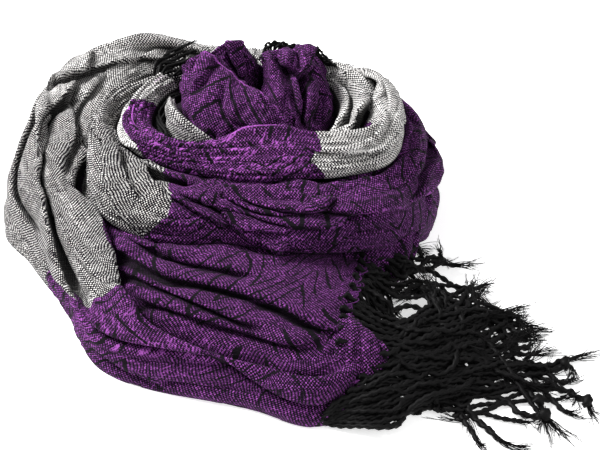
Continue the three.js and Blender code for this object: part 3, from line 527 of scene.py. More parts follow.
def in_heap(sweep, radius, height):
    """The point with this sweep, radius and height, in the part's frame."""
    angle = np.radians(sweep)
    x, y = HEAP_AXIS[0] + radius * np.cos(angle), HEAP_AXIS[1] - radius * np.sin(angle)
    return np.stack([x, y, height], axis=-1)


def winding(rows, sweeps, lanes, seed, folds, wrinkle=1.0, hem=False):
    """Points of a stretch of the winding. With hem, the first column follows the outer end's edge."""
    sweep, lane = np.meshgrid(sweeps, lanes, indexing="ij")
    if hem:
        shift = line_through(HEM, np.clip(lane, 0, 1)) - sweeps[0]
        sweep = sweep + shift * (1 - (sweep - sweeps[0]) / (sweeps[-1] - sweeps[0]))
    radius, height, out_r, out_z, fade, painted_shade = cloth_section(rows, sweep, lane, folds)
    middle = curve_through(rows, 3, sweeps)
    run = np.concatenate([[0], np.cumsum(np.radians(np.diff(sweeps)) * 0.5 * (middle[1:] + middle[:-1]))])
    if hem:
        run = run - np.interp(150, sweeps, run)
    along = run[:, None] + np.radians(sweep - sweeps[:, None]) * OUTER_RADIUS
    relief, crease_shade = crumple(along, lane * CLOTH_WIDTH, seed)
    strength = wrinkle * (0.25 + 0.75 * fade) * (1 - 0.7 * calmness(sweep, lane))
    relief = relief * strength
    # Painted shade in the wrinkles' creases joins the painted shade under the lips
    painted_shade = np.maximum(painted_shade, crease_shade * strength)
    radius = radius + out_r * relief
    height = np.maximum(height + out_z * relief, CLOTH_FLOOR)
    return in_heap(sweep, radius, height), sweep, lane, painted_shade


def grey_distance(sweep, lane):
    """Degrees of sweep from the nearest change of the weft's colour. Positive where the weft is grey."""
    nearest = np.full(sweep.shape, 1e9)
    signed = np.zeros(sweep.shape)
    for grey_beyond, edge in COLOUR_EDGES:
        offset = (sweep - line_through(edge, np.clip(lane, 0, 1))) * grey_beyond
        closer = np.abs(offset) < nearest
        signed = np.where(closer, offset, signed)
        nearest = np.where(closer, np.abs(offset), nearest)
    bump = (sweep > 655) & (sweep < 706) & (lane < 0.42)
    sliver = (sweep > 726) & (sweep < 748) & (np.abs(lane - 0.745 + 0.0045 * (sweep - 728)) < 0.017)
    return np.where(bump | sliver, -np.abs(signed), signed)


def above_ruffle(sweep, lane):
    """How far inwards of the ruffle's line a place lies."""
    return lane - curve_through(RUFFLE_LINE, 1, np.clip(sweep, RUFFLE_LINE[0, 0], RUFFLE_LINE[-1, 0]))


def resting_shadow(sweep, lane):
    """Painted shade where a stretch dips under its neighbours, on the back's band and in a pit on the third
    turn, and a painted shadow along the ruffle.
    """
    # painted shade where the cloth runs under at the foot and at the tuck
    dips = np.maximum(ramp((lane - 0.93) / 0.06), ramp((-0.02 - lane) / 0.05))
    raised = (lane < 0.5) & (sweep > 404) & (sweep < 458)
    dips = dips * np.where(raised | (lane > 0.5) & (sweep < 104), 0.75, 1)
    # painted shade on the back's band
    band = ramp((sweep - 186) / 10) * ramp((268 - sweep) / 20) * ramp((lane - 0.16) / 0.1)
    # painted shade: a dark pit on the third turn
    pit = np.exp(-(((sweep - 751) / 2.6) ** 2) - ((lane - 0.27) / 0.035) ** 2)
    # painted shadow along the ruffle's lip
    above = above_ruffle(sweep, lane) - 0.062
    ruffle_shadow = 0.75 * np.exp(-((above / 0.008) ** 2)) * ramp((sweep - 372) / 8) * ramp((462 - sweep) / 12)
    return np.maximum.reduce([dips, pit, 0.2 * band, ruffle_shadow])


def selvedge(sweep, lane):
    """The bright lines of the cloth's long edges, where they show."""
    waver = 0.006 * np.sin(sweep * 0.9) + 0.004 * np.sin(sweep * 2.3)
    foot = (np.abs(above_ruffle(sweep, lane) - 0.024) < 0.004 + 0.5 * waver) & (sweep > 376) & (sweep < 462)
    rim = (np.abs(lane - 0.62 - 0.4 * waver) < 0.006) & (sweep > 786)
    return np.where(rim, 0.75, np.where(foot, 0.52, 0.0))


def unit(vectors):
    return vectors / np.maximum(np.linalg.norm(vectors, axis=-1, keepdims=True), 1e-9)


def lengths(points, axis=0):
    """Distances between neighbours along one axis of a line or net of points."""
    return np.linalg.norm(np.diff(points, axis=axis), axis=-1)


def grid_cells(rows, columns):
    """Row and column of each cell of a grid."""
    return (index.ravel() for index in np.meshgrid(np.arange(rows), np.arange(columns), indexing="ij"))


def mesh_object(name, points, faces, uv=None, values=None):
    """A mesh piece, in metres. points n x 3 in millimetres; uv one pair for each face corner."""
    mesh = bpy.data.meshes.new(name)
    mesh.from_pydata((np.asarray(points) * MM).tolist(), [], [list(map(int, face)) for face in faces])
    if uv is not None:
        layer = mesh.uv_layers.new(name="cloth")
        layer.data.foreach_set("uv", np.asarray(uv, np.float32).ravel())
    for key, data in (values or {}).items():
        attribute = mesh.attributes.new(key, "FLOAT", "POINT")
        attribute.data.foreach_set("value", np.asarray(data, np.float32).ravel())
    mesh.polygons.foreach_set("use_smooth", np.full(len(mesh.polygons), True))
    mesh.update()
    piece = bpy.data.objects.new(name, mesh)
    bpy.context.collection.objects.link(piece)
    return piece


def cloth_piece(name, points, lane, values, bands=9):
    """A piece of woven cloth. Its weave runs true in each of a few bands of lanes, which the creases part."""
    rows, columns = points.shape[:2]
    i, j = grid_cells(rows - 1, columns - 1)
    steps = ((0, 0), (1, 0), (1, 1), (0, 1))
    faces = np.stack([(i + di) * columns + j + dj for di, dj in steps], axis=1)
    band = np.clip((lane[0, j] * bands).astype(int), 0, bands - 1)
    centres = [np.argmin(np.abs(lane[0] - (b + 0.5) / bands)) for b in range(bands)]
    run = np.zeros((bands, rows))
    for b, centre in enumerate(centres):
        run[b, 1:] = np.cumsum(lengths(points[:, centre]))
    width = np.zeros((rows, columns))
    width[:, 1:] = np.cumsum(lengths(points, 1), axis=1)
    values["run"] = np.repeat(run[bands // 2][:, None], columns, axis=1)
    values["span"] = lane * width[:, -1].mean()
    values.setdefault("motif", np.ones((rows, columns)))
    start = np.array([width[:, centre] for centre in centres])
    uv = np.zeros((len(faces), 4, 2))
    for corner, (di, dj) in enumerate(steps):
        uv[:, corner, 0] = run[band, i + di] + 13.7 * band
        uv[:, corner, 1] = width[i + di, j + dj] - start[band, i + di] + 31.3 * band
    piece = mesh_object(name, points.reshape(-1, 3), faces, uv * MM, values)
    solid = piece.modifiers.new("thickness", "SOLIDIFY")
    solid.thickness = CLOTH_THICKNESS
    solid.offset = -1
    solid.use_rim = True
    return piece


def dressed(piece, material, slot_name, *nodes):
    """Gives a piece its material and hides the CAD nodes that it takes the place of; the slot name is not
    used.
    """
    piece.data.materials.append(material)
    if nodes:
        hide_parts(*nodes)
    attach(piece, "root")
    return piece


class Shade:
    """Builds one node material."""

    def __init__(self, name):
        self.material = bpy.data.materials.new(name)
        self.material.use_nodes = True
        self.tree = self.material.node_tree
        self.tree.nodes.clear()
        self.bsdf = self.node("ShaderNodeBsdfPrincipled")
        output = self.node("ShaderNodeOutputMaterial")
        self.tree.links.new(self.bsdf.outputs[0], output.inputs[0])

    def node(self, kind, **settings):
        made = self.tree.nodes.new(kind)
        for key, value in settings.items():
            setattr(made, key, value)
        return made

    def put(self, socket, value):
        if isinstance(value, bpy.types.NodeSocket):
            self.tree.links.new(value, socket)
        elif value is not None:
            socket.default_value = value

    def math(self, operation, *values):
        made = self.node("ShaderNodeMath", operation=operation)
        for socket, value in zip(made.inputs, values):
            self.put(socket, value)
        return made.outputs[0]

    def times(self, a, b):
        return self.math("MULTIPLY", a, b)

    def plus(self, a, b):
        return self.math("ADD", a, b)

    def less(self, a, b):
        return self.math("SUBTRACT", a, b)

    def step(self, value, low, high, start=0.0, stop=1.0):
        made = self.node("ShaderNodeMapRange", interpolation_type="SMOOTHSTEP")
        for socket, number in zip(made.inputs, (value, low, high, start, stop)):
            self.put(socket, number)
        return made.outputs[0]

    def mix(self, factor, a, b):
        made = self.node("ShaderNodeMix", data_type="RGBA")
        self.put(made.inputs[0], factor)
        self.put(made.inputs[6], a if isinstance(a, bpy.types.NodeSocket) else (*a, 1))
        self.put(made.inputs[7], b if isinstance(b, bpy.types.NodeSocket) else (*b, 1))
        return made.outputs[2]

    def vector(self, x, y, z=0.0):
        made = self.node("ShaderNodeCombineXYZ")
        for socket, value in zip(made.inputs, (x, y, z)):
            self.put(socket, value)
        return made.outputs[0]

    def noise(self, vector, scale=1.0, detail=2.0):
        """Even noise of a place."""
        made = self.node("ShaderNodeTexNoise")
        self.put(made.inputs["Vector"], vector)
        made.inputs["Scale"].default_value = scale
        made.inputs["Detail"].default_value = detail
        return made.outputs["Fac"]

    def grain(self, u, scale_u, v, scale_v, detail, layer=0.0):
        """Noise with a scale of its own in each direction of the cloth."""
        return self.noise(self.vector(self.times(u, scale_u), self.times(v, scale_v), layer), detail=detail)

    def finish(self, colour, roughness, specular=None, sheen=None, normal=None):
        self.put(self.bsdf.inputs["Base Color"], colour)
        self.bsdf.inputs["Roughness"].default_value = roughness
        self.put(self.bsdf.inputs["Specular IOR Level"], specular)
        self.put(self.bsdf.inputs["Sheen Weight"], sheen)
        self.put(self.bsdf.inputs["Normal"], normal)
        return self.material

    def attribute(self, name):
        return self.node("ShaderNodeAttribute", attribute_name=name).outputs["Fac"]

    def bump(self, height, distance, strength=1.0, normal=None):
        made = self.node("ShaderNodeBump")
        made.inputs["Strength"].default_value = strength
        made.inputs["Distance"].default_value = distance
        self.put(made.inputs["Height"], height)
        if normal is not None:
            self.put(made.inputs["Normal"], normal)
        return made.outputs[0]


WEAVE_PITCH = 0.84  # millimetres from one thread to the next
PURPLE_WEFT = (0.090, 0.016, 0.115)
PURPLE_BRIGHT = (0.42, 0.103, 0.495)
GREY_WEFT = (0.78, 0.76, 0.74)
GREY_BRIGHT = (0.97, 0.96, 0.94)
WARP = (0.005, 0.003, 0.006)
# painted shade: the near-black that creases and the cloth under lips are darkened towards
PAINTED_SHADE_COLOUR = (0.002, 0.0015, 0.002)
CORD_BLACK = (0.0014, 0.0012, 0.0014)


def woven_material(name):
    """Plain weave of a black warp and a coloured weft, with wandering lines where the warp floats."""
    s = Shade(name)
    parts = s.node("ShaderNodeSeparateXYZ")
    s.tree.links.new(s.node("ShaderNodeUVMap", uv_map="cloth").outputs[0], parts.inputs[0])
    u0, v0 = (s.times(parts.outputs[k], 1000.0) for k in range(2))
    drift = s.times(s.less(s.grain(u0, 0.06, v0, 0.06, 2.0), 0.5), 2.2)
    u, v = s.plus(u0, drift), s.less(v0, drift)
    turn = math.pi / WEAVE_PITCH
    checks = s.times(s.math("SINE", s.times(u, turn)), s.math("SINE", s.times(v, turn)))
    slubs = s.grain(u, 1.3, v, 0.07, 2.0)
    ends_of_thread = s.grain(u, 0.07, v, 1.3, 2.0)
    bias = s.less(s.times(slubs, 1.6), s.times(ends_of_thread, 1.6))
    run, span = s.attribute("run"), s.attribute("span")
    lines = s.times(chevrons(s, run, span), s.attribute("motif"))
    floats = weft_floats(s, run, span)
    grey = s.step(s.attribute("grey"), -0.12, 0.12)
    purple = s.less(1.0, grey)
    shown = s.less(s.plus(checks, bias), s.times(s.times(lines, purple), 2.4))
    # Weft floats, and painted light: the grey shows more or less of its white weft by place
    shown = s.plus(shown, s.plus(s.times(floats, 1.3), s.times(grey, s.attribute("lift"))))
    weft_over = s.step(shown, 0.02, 0.55)
    bright = s.math("MAXIMUM", s.step(s.grain(u, 0.9, v, 0.5, 3.0), 0.42, 0.66), s.times(floats, 0.9))
    weft = s.mix(grey, s.mix(bright, PURPLE_WEFT, PURPLE_BRIGHT), s.mix(bright, GREY_WEFT, GREY_BRIGHT))
    patches = s.grain(run, 0.035, span, 0.05, 3.0)
    cloth = s.mix(weft_over, WARP, weft)
    cloth = s.mix(s.step(patches, 0.45, 0.75, 0.0, 0.30), cloth, s.mix(0.5, cloth, WARP))
    cloth = s.mix(s.step(s.attribute("edge"), 0.35, 0.65), cloth, s.mix(0.5, weft, PURPLE_BRIGHT))
    # Painted shade: darkening towards near black in creases, under lips and where the cloth dips under its
    # neighbours
    cloth = s.mix(s.step(s.attribute("painted_shade"), 0.18, 0.95, 0.0, 0.93), cloth, PAINTED_SHADE_COLOUR)
    s.bsdf.inputs["Sheen Roughness"].default_value = 0.5
    crinkle = s.bump(s.grain(u, 0.30, v, 0.55, 4.0), 0.0011, 0.8)
    threads = s.bump(s.math("ABSOLUTE", checks), 0.00016, 0.7, crinkle)
    return s.finish(cloth, 0.82, specular=0.08, sheen=0.02, normal=threads)


def chevrons(s, u, v):
    """Thin dark lines that zigzag along the cloth, broken here and there."""
    sway_u = s.grain(u, 0.013, v, 0.018, 1.0)
    sway_v = s.grain(u, 0.02, v, 0.012, 1.0, layer=5.0)
    zigzag = s.math("PINGPONG", s.plus(u, s.times(sway_u, 40.0)), 32.0)
    across = s.plus(s.plus(v, s.times(zigzag, 1.4)), s.times(sway_v, 26.0))
    line = s.step(s.math("PINGPONG", across, 7.5), 0.75, 1.6, 1.0, 0.0)
    return s.times(line, s.step(s.grain(u, 0.03, v, 0.04, 1.0, layer=7.0), 0.45, 0.53))


def weft_floats(s, u, v):
    """Short bright strokes of weft, in the places where the cloth is marked for them."""
    strokes = s.grain(s.plus(u, s.times(v, 0.5)), 0.85, v, 0.15, 1.0, layer=3.0)
    groups = s.grain(u, 0.09, v, 0.11, 2.0, layer=9.0)
    return s.times(s.times(s.step(strokes, 0.52, 0.62), s.step(groups, 0.42, 0.58)), s.attribute("floats"))


def fibre_material(name, colour, scale=900.0):
    """Twisted fibres of one colour, a little lighter here and there."""
    s = Shade(name)
    place = s.node("ShaderNodeTexCoord").outputs["Object"]
    fibres = s.noise(place, scale, 3.0)
    dust = s.noise(place, scale * 0.12)
    lighter = tuple(min(1.0, c * 2.6 + 0.003) for c in colour)
    shade = s.mix(s.times(s.step(fibres, 0.45, 0.75), dust), colour, lighter)
    return s.finish(shade, 0.6, specular=0.14, sheen=0.01, normal=s.bump(fibres, 0.0003, 0.6))


def layers_material(name):
    """The hidden layers, where a gap shows them: the same cloth in shadow."""
    s = Shade(name)
    place = s.node("ShaderNodeTexCoord").outputs["Object"]
    weave, folds = s.noise(place, 700.0), s.noise(place, 90.0)
    shade = s.mix(s.step(weave, 0.4, 0.65), WARP, tuple(0.35 * c for c in PURPLE_WEFT))
    return s.finish(shade, 0.9, normal=s.bump(folds, 0.004, 0.9))


def smooth_rows(rows, count):
    """Points, or rows of points, on a smooth curve through a few, evenly numbered."""
    p = np.asarray(rows, float)
    p = np.concatenate([2 * p[:1] - p[1:2], p, 2 * p[-1:] - p[-2:-1]])
    t = np.linspace(0, len(p) - 3 - 1e-6, count)
    k = np.floor(t).astype(int)
    f = (t - k).reshape(-1, *[1] * (p.ndim - 1))
    a, b, c, d = p[k], p[k + 1], p[k + 2], p[k + 3]
    return 0.5 * (2 * b + (c - a) * f + (2 * a - 5 * b + 4 * c - d) * f**2 + (3 * b - a - 3 * c + d) * f**3)


def smooth_net(rows, count_along, count_up):
    """A table of rows, three numbers for each point, as a net of points and as a finer, smooth one."""
    net = np.reshape(rows, (len(rows), -1, 3)).astype(float)
    fine = smooth_rows(net, count_along)
    return net, smooth_rows(fine.transpose(1, 0, 2), count_up).transpose(1, 0, 2)


def tube(path, radius, sides, twist_pitch=None):
    """Points and faces of a tube along a path. With a twist pitch it is two plies laid round each other."""
    n = len(path)
    tangent = unit(np.gradient(path, axis=0))
    side = unit(np.cross(tangent, (0.05, 0.02, 1.0)))
    up = np.cross(side, tangent)
    run = np.concatenate([[0], np.cumsum(lengths(path))])
    around = np.arange(sides) * 2 * np.pi / sides
    radii = np.broadcast_to(np.asarray(radius, float), (n,))[:, None] * np.ones(sides)
    if twist_pitch:
        turned = 2 * np.pi * run[:, None] / twist_pitch / 2
        radii = radii * (1 + PLY_LOBE * np.cos(2 * (around[None, :] - turned)))
    ring = np.cos(around)[None, :, None] * side[:, None, :] + np.sin(around)[None, :, None] * up[:, None, :]
    points = path[:, None, :] + radii[:, :, None] * ring
    i, j = grid_cells(n - 1, sides)
    k = (j + 1) % sides
    faces = np.stack([i * sides + j, i * sides + k, (i + 1) * sides + k, (i + 1) * sides + j], axis=1)
    return points.reshape(-1, 3), faces


class Bundle:
    """Collects tubes into one mesh."""

    def __init__(self):
        self.points, self.faces, self.count = [], [], 0

    def add(self, points, faces):
        self.points.append(points)
        self.faces.append(faces + self.count)
        self.count += len(points)

    def piece(self, name):
        return mesh_object(name, np.vstack(self.points), np.vstack(self.faces))


def add_cord(bundle, tips, rng, waypoints, radius, wobble, fibres, knot=False, floor=0.0):
    """One twisted cord with a frayed tip, and a knot near it if asked. Its fibres go into tips."""
    length = lengths(smooth_rows(waypoints, 40)).sum()
    count = max(12, int(length / CORD_STEP))
    path = smooth_rows(waypoints, count)
    t = np.linspace(0, 1, count)
    phase = rng.uniform(0, 2 * np.pi, 4)
    free = wobble * ramp((t - 0.05) / 0.4)
    for axis in range(2):
        path[:, axis] += free * 1.6 * np.sin(2 * np.pi * t * length / rng.uniform(26, 44) + phase[axis])
        path[:, axis] += free * 0.5 * np.sin(2 * np.pi * t * length / rng.uniform(9, 14) + phase[axis - 1])
    path[:, 2] += free * 0.9 * np.sin(2 * np.pi * t * length / rng.uniform(18, 34) + phase[2])
    radii = np.full(count, radius) * (1 + 0.08 * np.sin(9 * t + phase[3]))
    tip_at = 1.0
    if knot:
        at = rng.uniform(0.8, 0.93)
        radii += radius * 1.15 * np.exp(-(((t - at) * length / (1.5 * radius)) ** 2))
        path[:, 2] += 0.7 * radius * np.exp(-(((t - at) * length / (2 * radius)) ** 2))
        tip_at = min(1.0, at + 5.0 / length)
    path[:, 2] = np.maximum(path[:, 2], floor + 0.1 + 1.36 * radii)
    radii *= 0.35 + 0.65 * ramp(t * length / 5.0)
    body = t <= tip_at
    radii[t > tip_at - 2.5 / length] *= 0.8
    bundle.add(*tube(path[body], radii[body], 6, twist_pitch=radius * 3.7))
    end = path[body][-1]
    heading = path[body][-1] - path[body][-6]
    heading /= np.linalg.norm(heading)
    lock = rng.normal(0, 3.2, 3) * (1, 1, 0.3)
    for _ in range(fibres):
        reach = rng.uniform(5, 11) * (radius / 1.2)
        spread = heading + rng.normal(0, 0.15, 3) * (1, 1, 0.5)
        u = np.linspace(0, 1, 9)[:, None]
        curl = lock + rng.normal(0, 1.7, 3) * (1, 1, 0.5)
        second = rng.normal(0, 0.9, 3) * (1, 1, 0.5)
        strand = end + (u * (reach + 1.5) - 1.5) * spread + curl * u**2 + second * np.sin(5 * u) * u
        strand = strand + rng.normal(0, 0.5, 3) * radius
        strand[:, 2] = np.maximum(strand[:, 2], floor + 0.3)
        tips.add(*tube(strand, np.linspace(0.26, 0.13, 9), 3))


def line_distance(x, y, line):
    """Signed distance of places from a broken line, and how far along it the nearest point is (0 to 1)."""
    near = np.full(x.shape, 1e9)
    signed, along = np.zeros(x.shape), np.zeros(x.shape)
    for k in range(len(line) - 1):
        (ax, ay), (bx, by) = line[k], line[k + 1]
        length = math.hypot(bx - ax, by - ay)
        raw = ((x - ax) * (bx - ax) + (y - ay) * (by - ay)) / length**2
        t = np.clip(raw, 0, 1)
        away = np.hypot(x - ax - t * (bx - ax), y - ay - t * (by - ay))
        side = np.sign((bx - ax) * (y - ay) - (by - ay) * (x - ax))
        closer = away < near
        near = np.where(closer, away, near)
        signed = np.where(closer, away * side, signed)
        along = np.where(closer, (k + t) / (len(line) - 1), along)
    return signed, along


def puff_points(name, count_along, count_up, seed):
    """The cloth of one puffed fold, with its creases and wrinkles, and the painted shade in their valleys."""
    net, fine = smooth_net(PUFFS[name], count_along, count_up)
    row_mm, up_mm = lengths(net).mean(), lengths(net, 1).mean()
    ticks = (np.linspace(0, size - 1, count) for size, count in zip(net.shape, (count_along, count_up)))
    row, up = np.meshgrid(*ticks, indexing="ij")
    a, b = row * row_mm, up * up_mm
    d_row, d_up = np.gradient(fine, axis=0), np.gradient(fine, axis=1)
    normal = unit(np.cross(d_row, d_up))
    rise, slide_a, slide_b, painted_shade = np.zeros((4, *row.shape))
    for piece, side, depth, valley, reach, turn, line in PUFF_CREASES:
        if piece != name:
            continue
        path = np.asarray(line, float) * (row_mm, up_mm)
        across, along = line_distance(a, b, path)
        across = across * side
        strength = ends(along, 0.22)
        amount = np.tanh(across / turn) * np.exp(-((across / reach) ** 2)) * strength
        heading = path[-1] - path[0]
        heading /= np.linalg.norm(heading)
        foot = np.exp(-np.abs(across + 0.6 * turn + 0.9 * depth) / (0.25 * reach)) * strength
        rise += amount * depth - valley * foot
        # Painted shade along the valley under each crease's lip
        painted_shade = np.maximum(painted_shade, foot * min(1.0, valley / 4))
        slide_a += -amount * side * -heading[1] * 0.9 * depth
        slide_b += -amount * side * heading[0] * 0.9 * depth
    bend = 3 * lattice_noise(a / 24, b / 24, seed)
    creases = np.abs(lattice_noise((a + bend) / 11, b / 15, seed + 1)) ** 0.85
    pleats = np.abs(lattice_noise((a + 2 * bend) / 6, b / 14, seed + 2))
    small = lattice_noise(a / 4, b / 5, seed + 3)
    rise += 3.0 * (creases - 0.33) + 1.6 * (pleats - 0.22) + 0.5 * small
    points = fine + normal * rise[..., None]
    points = points + unit(d_row) * slide_a[..., None] + unit(d_up) * slide_b[..., None]
    # Painted shade in the wrinkles' creases
    painted_shade = np.maximum(painted_shade, 0.5 * np.exp(-creases / 0.08))
    return points, row, up, painted_shade


# Camera
camera = bpy.data.objects.new("camera", bpy.data.cameras.new("camera"))
bpy.context.collection.objects.link(camera)
camera.data.lens = CAMERA_LENS
camera.data.sensor_width = 36.0
tilt = math.radians(CAMERA_ELEVATION)
camera.location = Vector(AIM) * MM + Vector((0, -math.cos(tilt), math.sin(tilt))) * CAMERA_DISTANCE * MM
camera.rotation_euler = (math.pi / 2 - tilt, 0, 0)
camera.data.clip_start = 0.01
bpy.context.scene.camera = camera

woven = woven_material("woven_cloth")
cord_black = fibre_material("cord_black", CORD_BLACK)
thread_purple = fibre_material("thread_purple", PURPLE_WEFT, 1400.0)

# The winding, in three lengths that meet at the back: first and last sweep, spacing of the rows, mean radius,
# number of lanes, and the nodes that it takes the place of
WINDING = [
    ("cloth_outer", 77, 270, 1.5, 125, 132, ("front_sweep", "left_sweep")),
    ("cloth_middle", 270, 630, 1.5, 92, 108, ("back_sweep", "right_sweep", "front_wrap", "left_wrap")),
    ("cloth_inner", 630, 917, 1.3, 66, 96, ("back_wrap", "right_wrap", "front_roll", "left_roll")),
]
for name, start, stop, spacing, mean_radius, lane_count, nodes in WINDING:
    row_count = int(math.radians(stop - start) * mean_radius / (spacing * QUICK_STEP))
    sweeps = np.linspace(start, stop, row_count)
    lanes = np.linspace(-0.1, 1.08, int(lane_count / QUICK_STEP))
    points, sweep, lane, painted_shade = winding(SECTIONS, sweeps, lanes, 21, ALL_FOLDS, hem=name == "cloth_outer")
    # Weft that floats on the third turn's front and on a patch by the hem; painted light on the grey, which is
    # darker on the outer turns, less so at the left, and lighter on the inner turn
    roll_floats = ramp((sweep - 776) / 6) * ramp((900 - sweep) / 10)
    hem_floats = ramp((0.16 - np.abs(lane - 0.26)) / 0.1) * ramp((136 - sweep) / 10) * ramp((sweep - 88) / 10)
    left_painted_light = ramp((sweep - 165) / 30) * ramp((300 - sweep) / 20)
    values = {
        # painted shade under lips, in creases and where the cloth dips under
        "painted_shade": np.maximum(painted_shade, resting_shadow(sweep, lane)),
        "motif": 1 - 0.7 * ramp((118 - sweep) / 14) * ramp((0.34 - lane) / 0.12),
        "grey": grey_distance(sweep, lane),
        "edge": selvedge(sweep, lane),
        # painted light: the grey made darker or lighter by place
        "lift": 0.38 * ramp((sweep - 640) / 30) - 0.2 + 0.25 * left_painted_light,
        "floats": roll_floats + 0.8 * hem_floats,
    }
    piece = cloth_piece(name, points, lane, values)
    dressed(piece, woven, "cloth_purple", *nodes)

# The flap of grey in the gap at the left of the middle
leaf_grid = np.linspace(836, 892, 60), np.linspace(0, 1.05, 40)
points, sweep, lane, painted_shade = winding(LEAF_SECTIONS, *leaf_grid, 77, [], wrinkle=0.35)
# The leaf carries painted shade in its creases
leaf = cloth_piece("leaf", points, lane, {"grey": np.ones(sweep.shape), "painted_shade": painted_shade}, 3)
dressed(leaf, woven, "cloth_grey", "inner_leaf")

# The corners of the outer end
CORNER_GRID = (60, 44)
for name, rows in HEM_CORNERS.items():
    fine = smooth_net(rows, *CORNER_GRID)[1]
    row, up = np.meshgrid(*(np.linspace(0, 1, count) for count in CORNER_GRID), indexing="ij")
    normal = unit(np.cross(np.gradient(fine, axis=0), np.gradient(fine, axis=1)))
    # the wrinkles' height, and painted shade in their creases
    rise, painted_shade = crumple(up * 34, row * 44, 91)
    rise = 0.8 * rise * ramp((1 - up) / 0.1)
    corner = fine - normal * rise[..., None]
    corner[..., 2] = np.maximum(corner[..., 2], CLOTH_FLOOR)
    values = {"grey": np.full(row.shape, -1.0), "edge": np.where(up > 0.97, 0.7, 0.0), "painted_shade": painted_shade}
    piece = cloth_piece(name, corner, up, values, 3)
    dressed(piece, woven, "cloth_purple")

# The middle
PUFF_GRID = ((130, 92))
for index, (name, node) in enumerate(zip(PUFFS, ("crown_front", "crown_back", "crown_right"))):
    points, row, up, painted_shade = puff_points(name, *PUFF_GRID, 60 + 5 * index)
    # The front one shows its selvedge along its highest edge
    values = {
        "grey": np.full(row.shape, -1.0),
        "edge": np.where((name == "puff_front") & (np.abs(up - 4.0) < 0.05), 0.6, 0.0),
        "floats": np.full(row.shape, 0.12),
        "motif": np.full(row.shape, 0.4),
        # painted shade in the creases
        "painted_shade": painted_shade,
    }
    piece = cloth_piece(name, points, up / up.max(), values, 4)
    dressed(piece, woven, "cloth_purple", node)

# The outer end's fringe
rng = np.random.default_rng(FRAY_SEED)


def cloth_spot(sweep, lane):
    """A point of the winding, without its small creases, and its radius."""
    at = np.array([[float(sweep)]])
    radius, height, *_ = cloth_section(SECTIONS, at, np.array([[lane]]), FOLDS)
    return in_heap(at, radius, height)[0, 0], radius[0, 0]


def hem_root(lane, back=1.0):
    """A point of the hem, a little way back from its edge."""
    return cloth_spot(line_through(HEM, lane) + back, lane)[0]


bundle, tips = Bundle(), Bundle()
for lane, line in CORD_LINES:
    inset = rng.uniform(1.5, 6.0) if lane < 0.12 else 0.7
    edge = hem_root(lane, 0.4) + (0, 0, 2.0)
    stray = 2.2 * ramp((lane - 0.42) / 0.1)
    spots = [spot + rng.normal(0, 1, 3) * (stray, stray, 0.4 * stray) for spot in line]
    waypoints = [hem_root(lane, inset) + (0, 0, 0.8), edge] + spots
    radius = CORD_RADIUS * rng.uniform(0.92, 1.08)
    add_cord(bundle, tips, rng, waypoints, radius, 0.55, 20, knot=lane in KNOTTED_LANES)
first_lane = CORD_LINES[0][0]
for k in range(FILLING_CORDS):
    lane = first_lane + (0.52 - first_lane) * (k + 0.5) / FILLING_CORDS
    spots = []
    for step in range(6):
        near = np.clip(lane + rng.normal(0, 0.035 + 0.012 * step), 0.012, 0.50)
        after = next(i for i, row in enumerate(CORD_LINES) if row[0] > near)
        (low_lane, low), (high_lane, high) = CORD_LINES[after - 1], CORD_LINES[after]
        share = (near - low_lane) / (high_lane - low_lane)
        spot = (1 - share) * smooth_rows(low, 6)[step] + share * smooth_rows(high, 6)[step]
        spots.append(spot + (rng.normal(0, 1.5), rng.normal(0, 1.8), rng.uniform(-4.0, 3.0)))
    waypoints = [hem_root(lane)] + spots[: rng.integers(4, 7) - (lane < 0.28)]
    add_cord(bundle, tips, rng, waypoints, CORD_RADIUS * rng.uniform(0.85, 1.05), 0.8, 14)
for _ in range(SHORT_CORDS):
    lane = rng.uniform(0.44, 0.80)
    root = hem_root(lane)
    reach = rng.uniform(14, 30)
    turned = rng.normal(0, 0.42) - 0.25
    spots = []
    for share in (0.3, 0.65, 1.0):
        aside = turned * share
        out = np.array([math.cos(aside), math.sin(aside), 0]) * reach * share
        spots.append(root + out + (0, 0, -root[2] * 0.75 * share + rng.uniform(0, 5)) + rng.normal(0, 1.2, 3))
    add_cord(bundle, tips, rng, [root] + spots, CORD_RADIUS * rng.uniform(0.8, 1.0), 0.9, 10)
fringe_outer = dressed(bundle.piece("fringe_cords"), cord_black, "fringe", "fringe_outer")
fringe_tips = dressed(tips.piece("fringe_tips"), cord_black, "fringe")

# The inner end's threads: above the third turn, below it, and up over the middle
bundle = Bundle()
for k in range(UPPER_THREADS):
    t = (k + 0.5) / UPPER_THREADS
    root, radius = cloth_spot(916, 0.1 + 0.68 * t)
    waypoints = [root]
    goal = 63 - 20 * t
    for along, rise, settled in ((0.3, 2, 0.5), (0.65, 1, 1), (1, 0, 1)):
        reach = 917 + 36 * along * (0.88 + 0.12 * math.cos(5 * k))
        r = radius + (goal - radius) * settled + rng.normal(0, 1)
        waypoints.append(in_heap(reach, r, 67 - 3 * t + 1.5 * rise + rng.uniform(0, 4)))
    add_cord(bundle, bundle, rng, waypoints, THREAD_RADIUS, 0.7, 5, floor=50)
for k in range(LOWER_THREADS):
    t = (k + 0.5) / LOWER_THREADS
    r0 = 42 - 5 * t
    waypoints = [in_heap(918.5, r0, 62 - 4 * t)]
    for along, settled in ((0.3, 0.5), (0.65, 1), (1, 1)):
        reach = 917 - 54 * along * (0.85 + 0.15 * math.cos(7 * k))
        r = r0 + (52.5 - 2.5 * t - r0) * settled + rng.normal(0, 0.9)
        waypoints.append(in_heap(reach, r, 54 + 3 * (1 - along) + rng.uniform(0, 7)))
    add_cord(bundle, bundle, rng, waypoints, THREAD_RADIUS, 0.6, 5, floor=50)
fringe_inner = dressed(bundle.piece("fringe_inner_threads"), cord_black, "fringe", "fringe_inner")

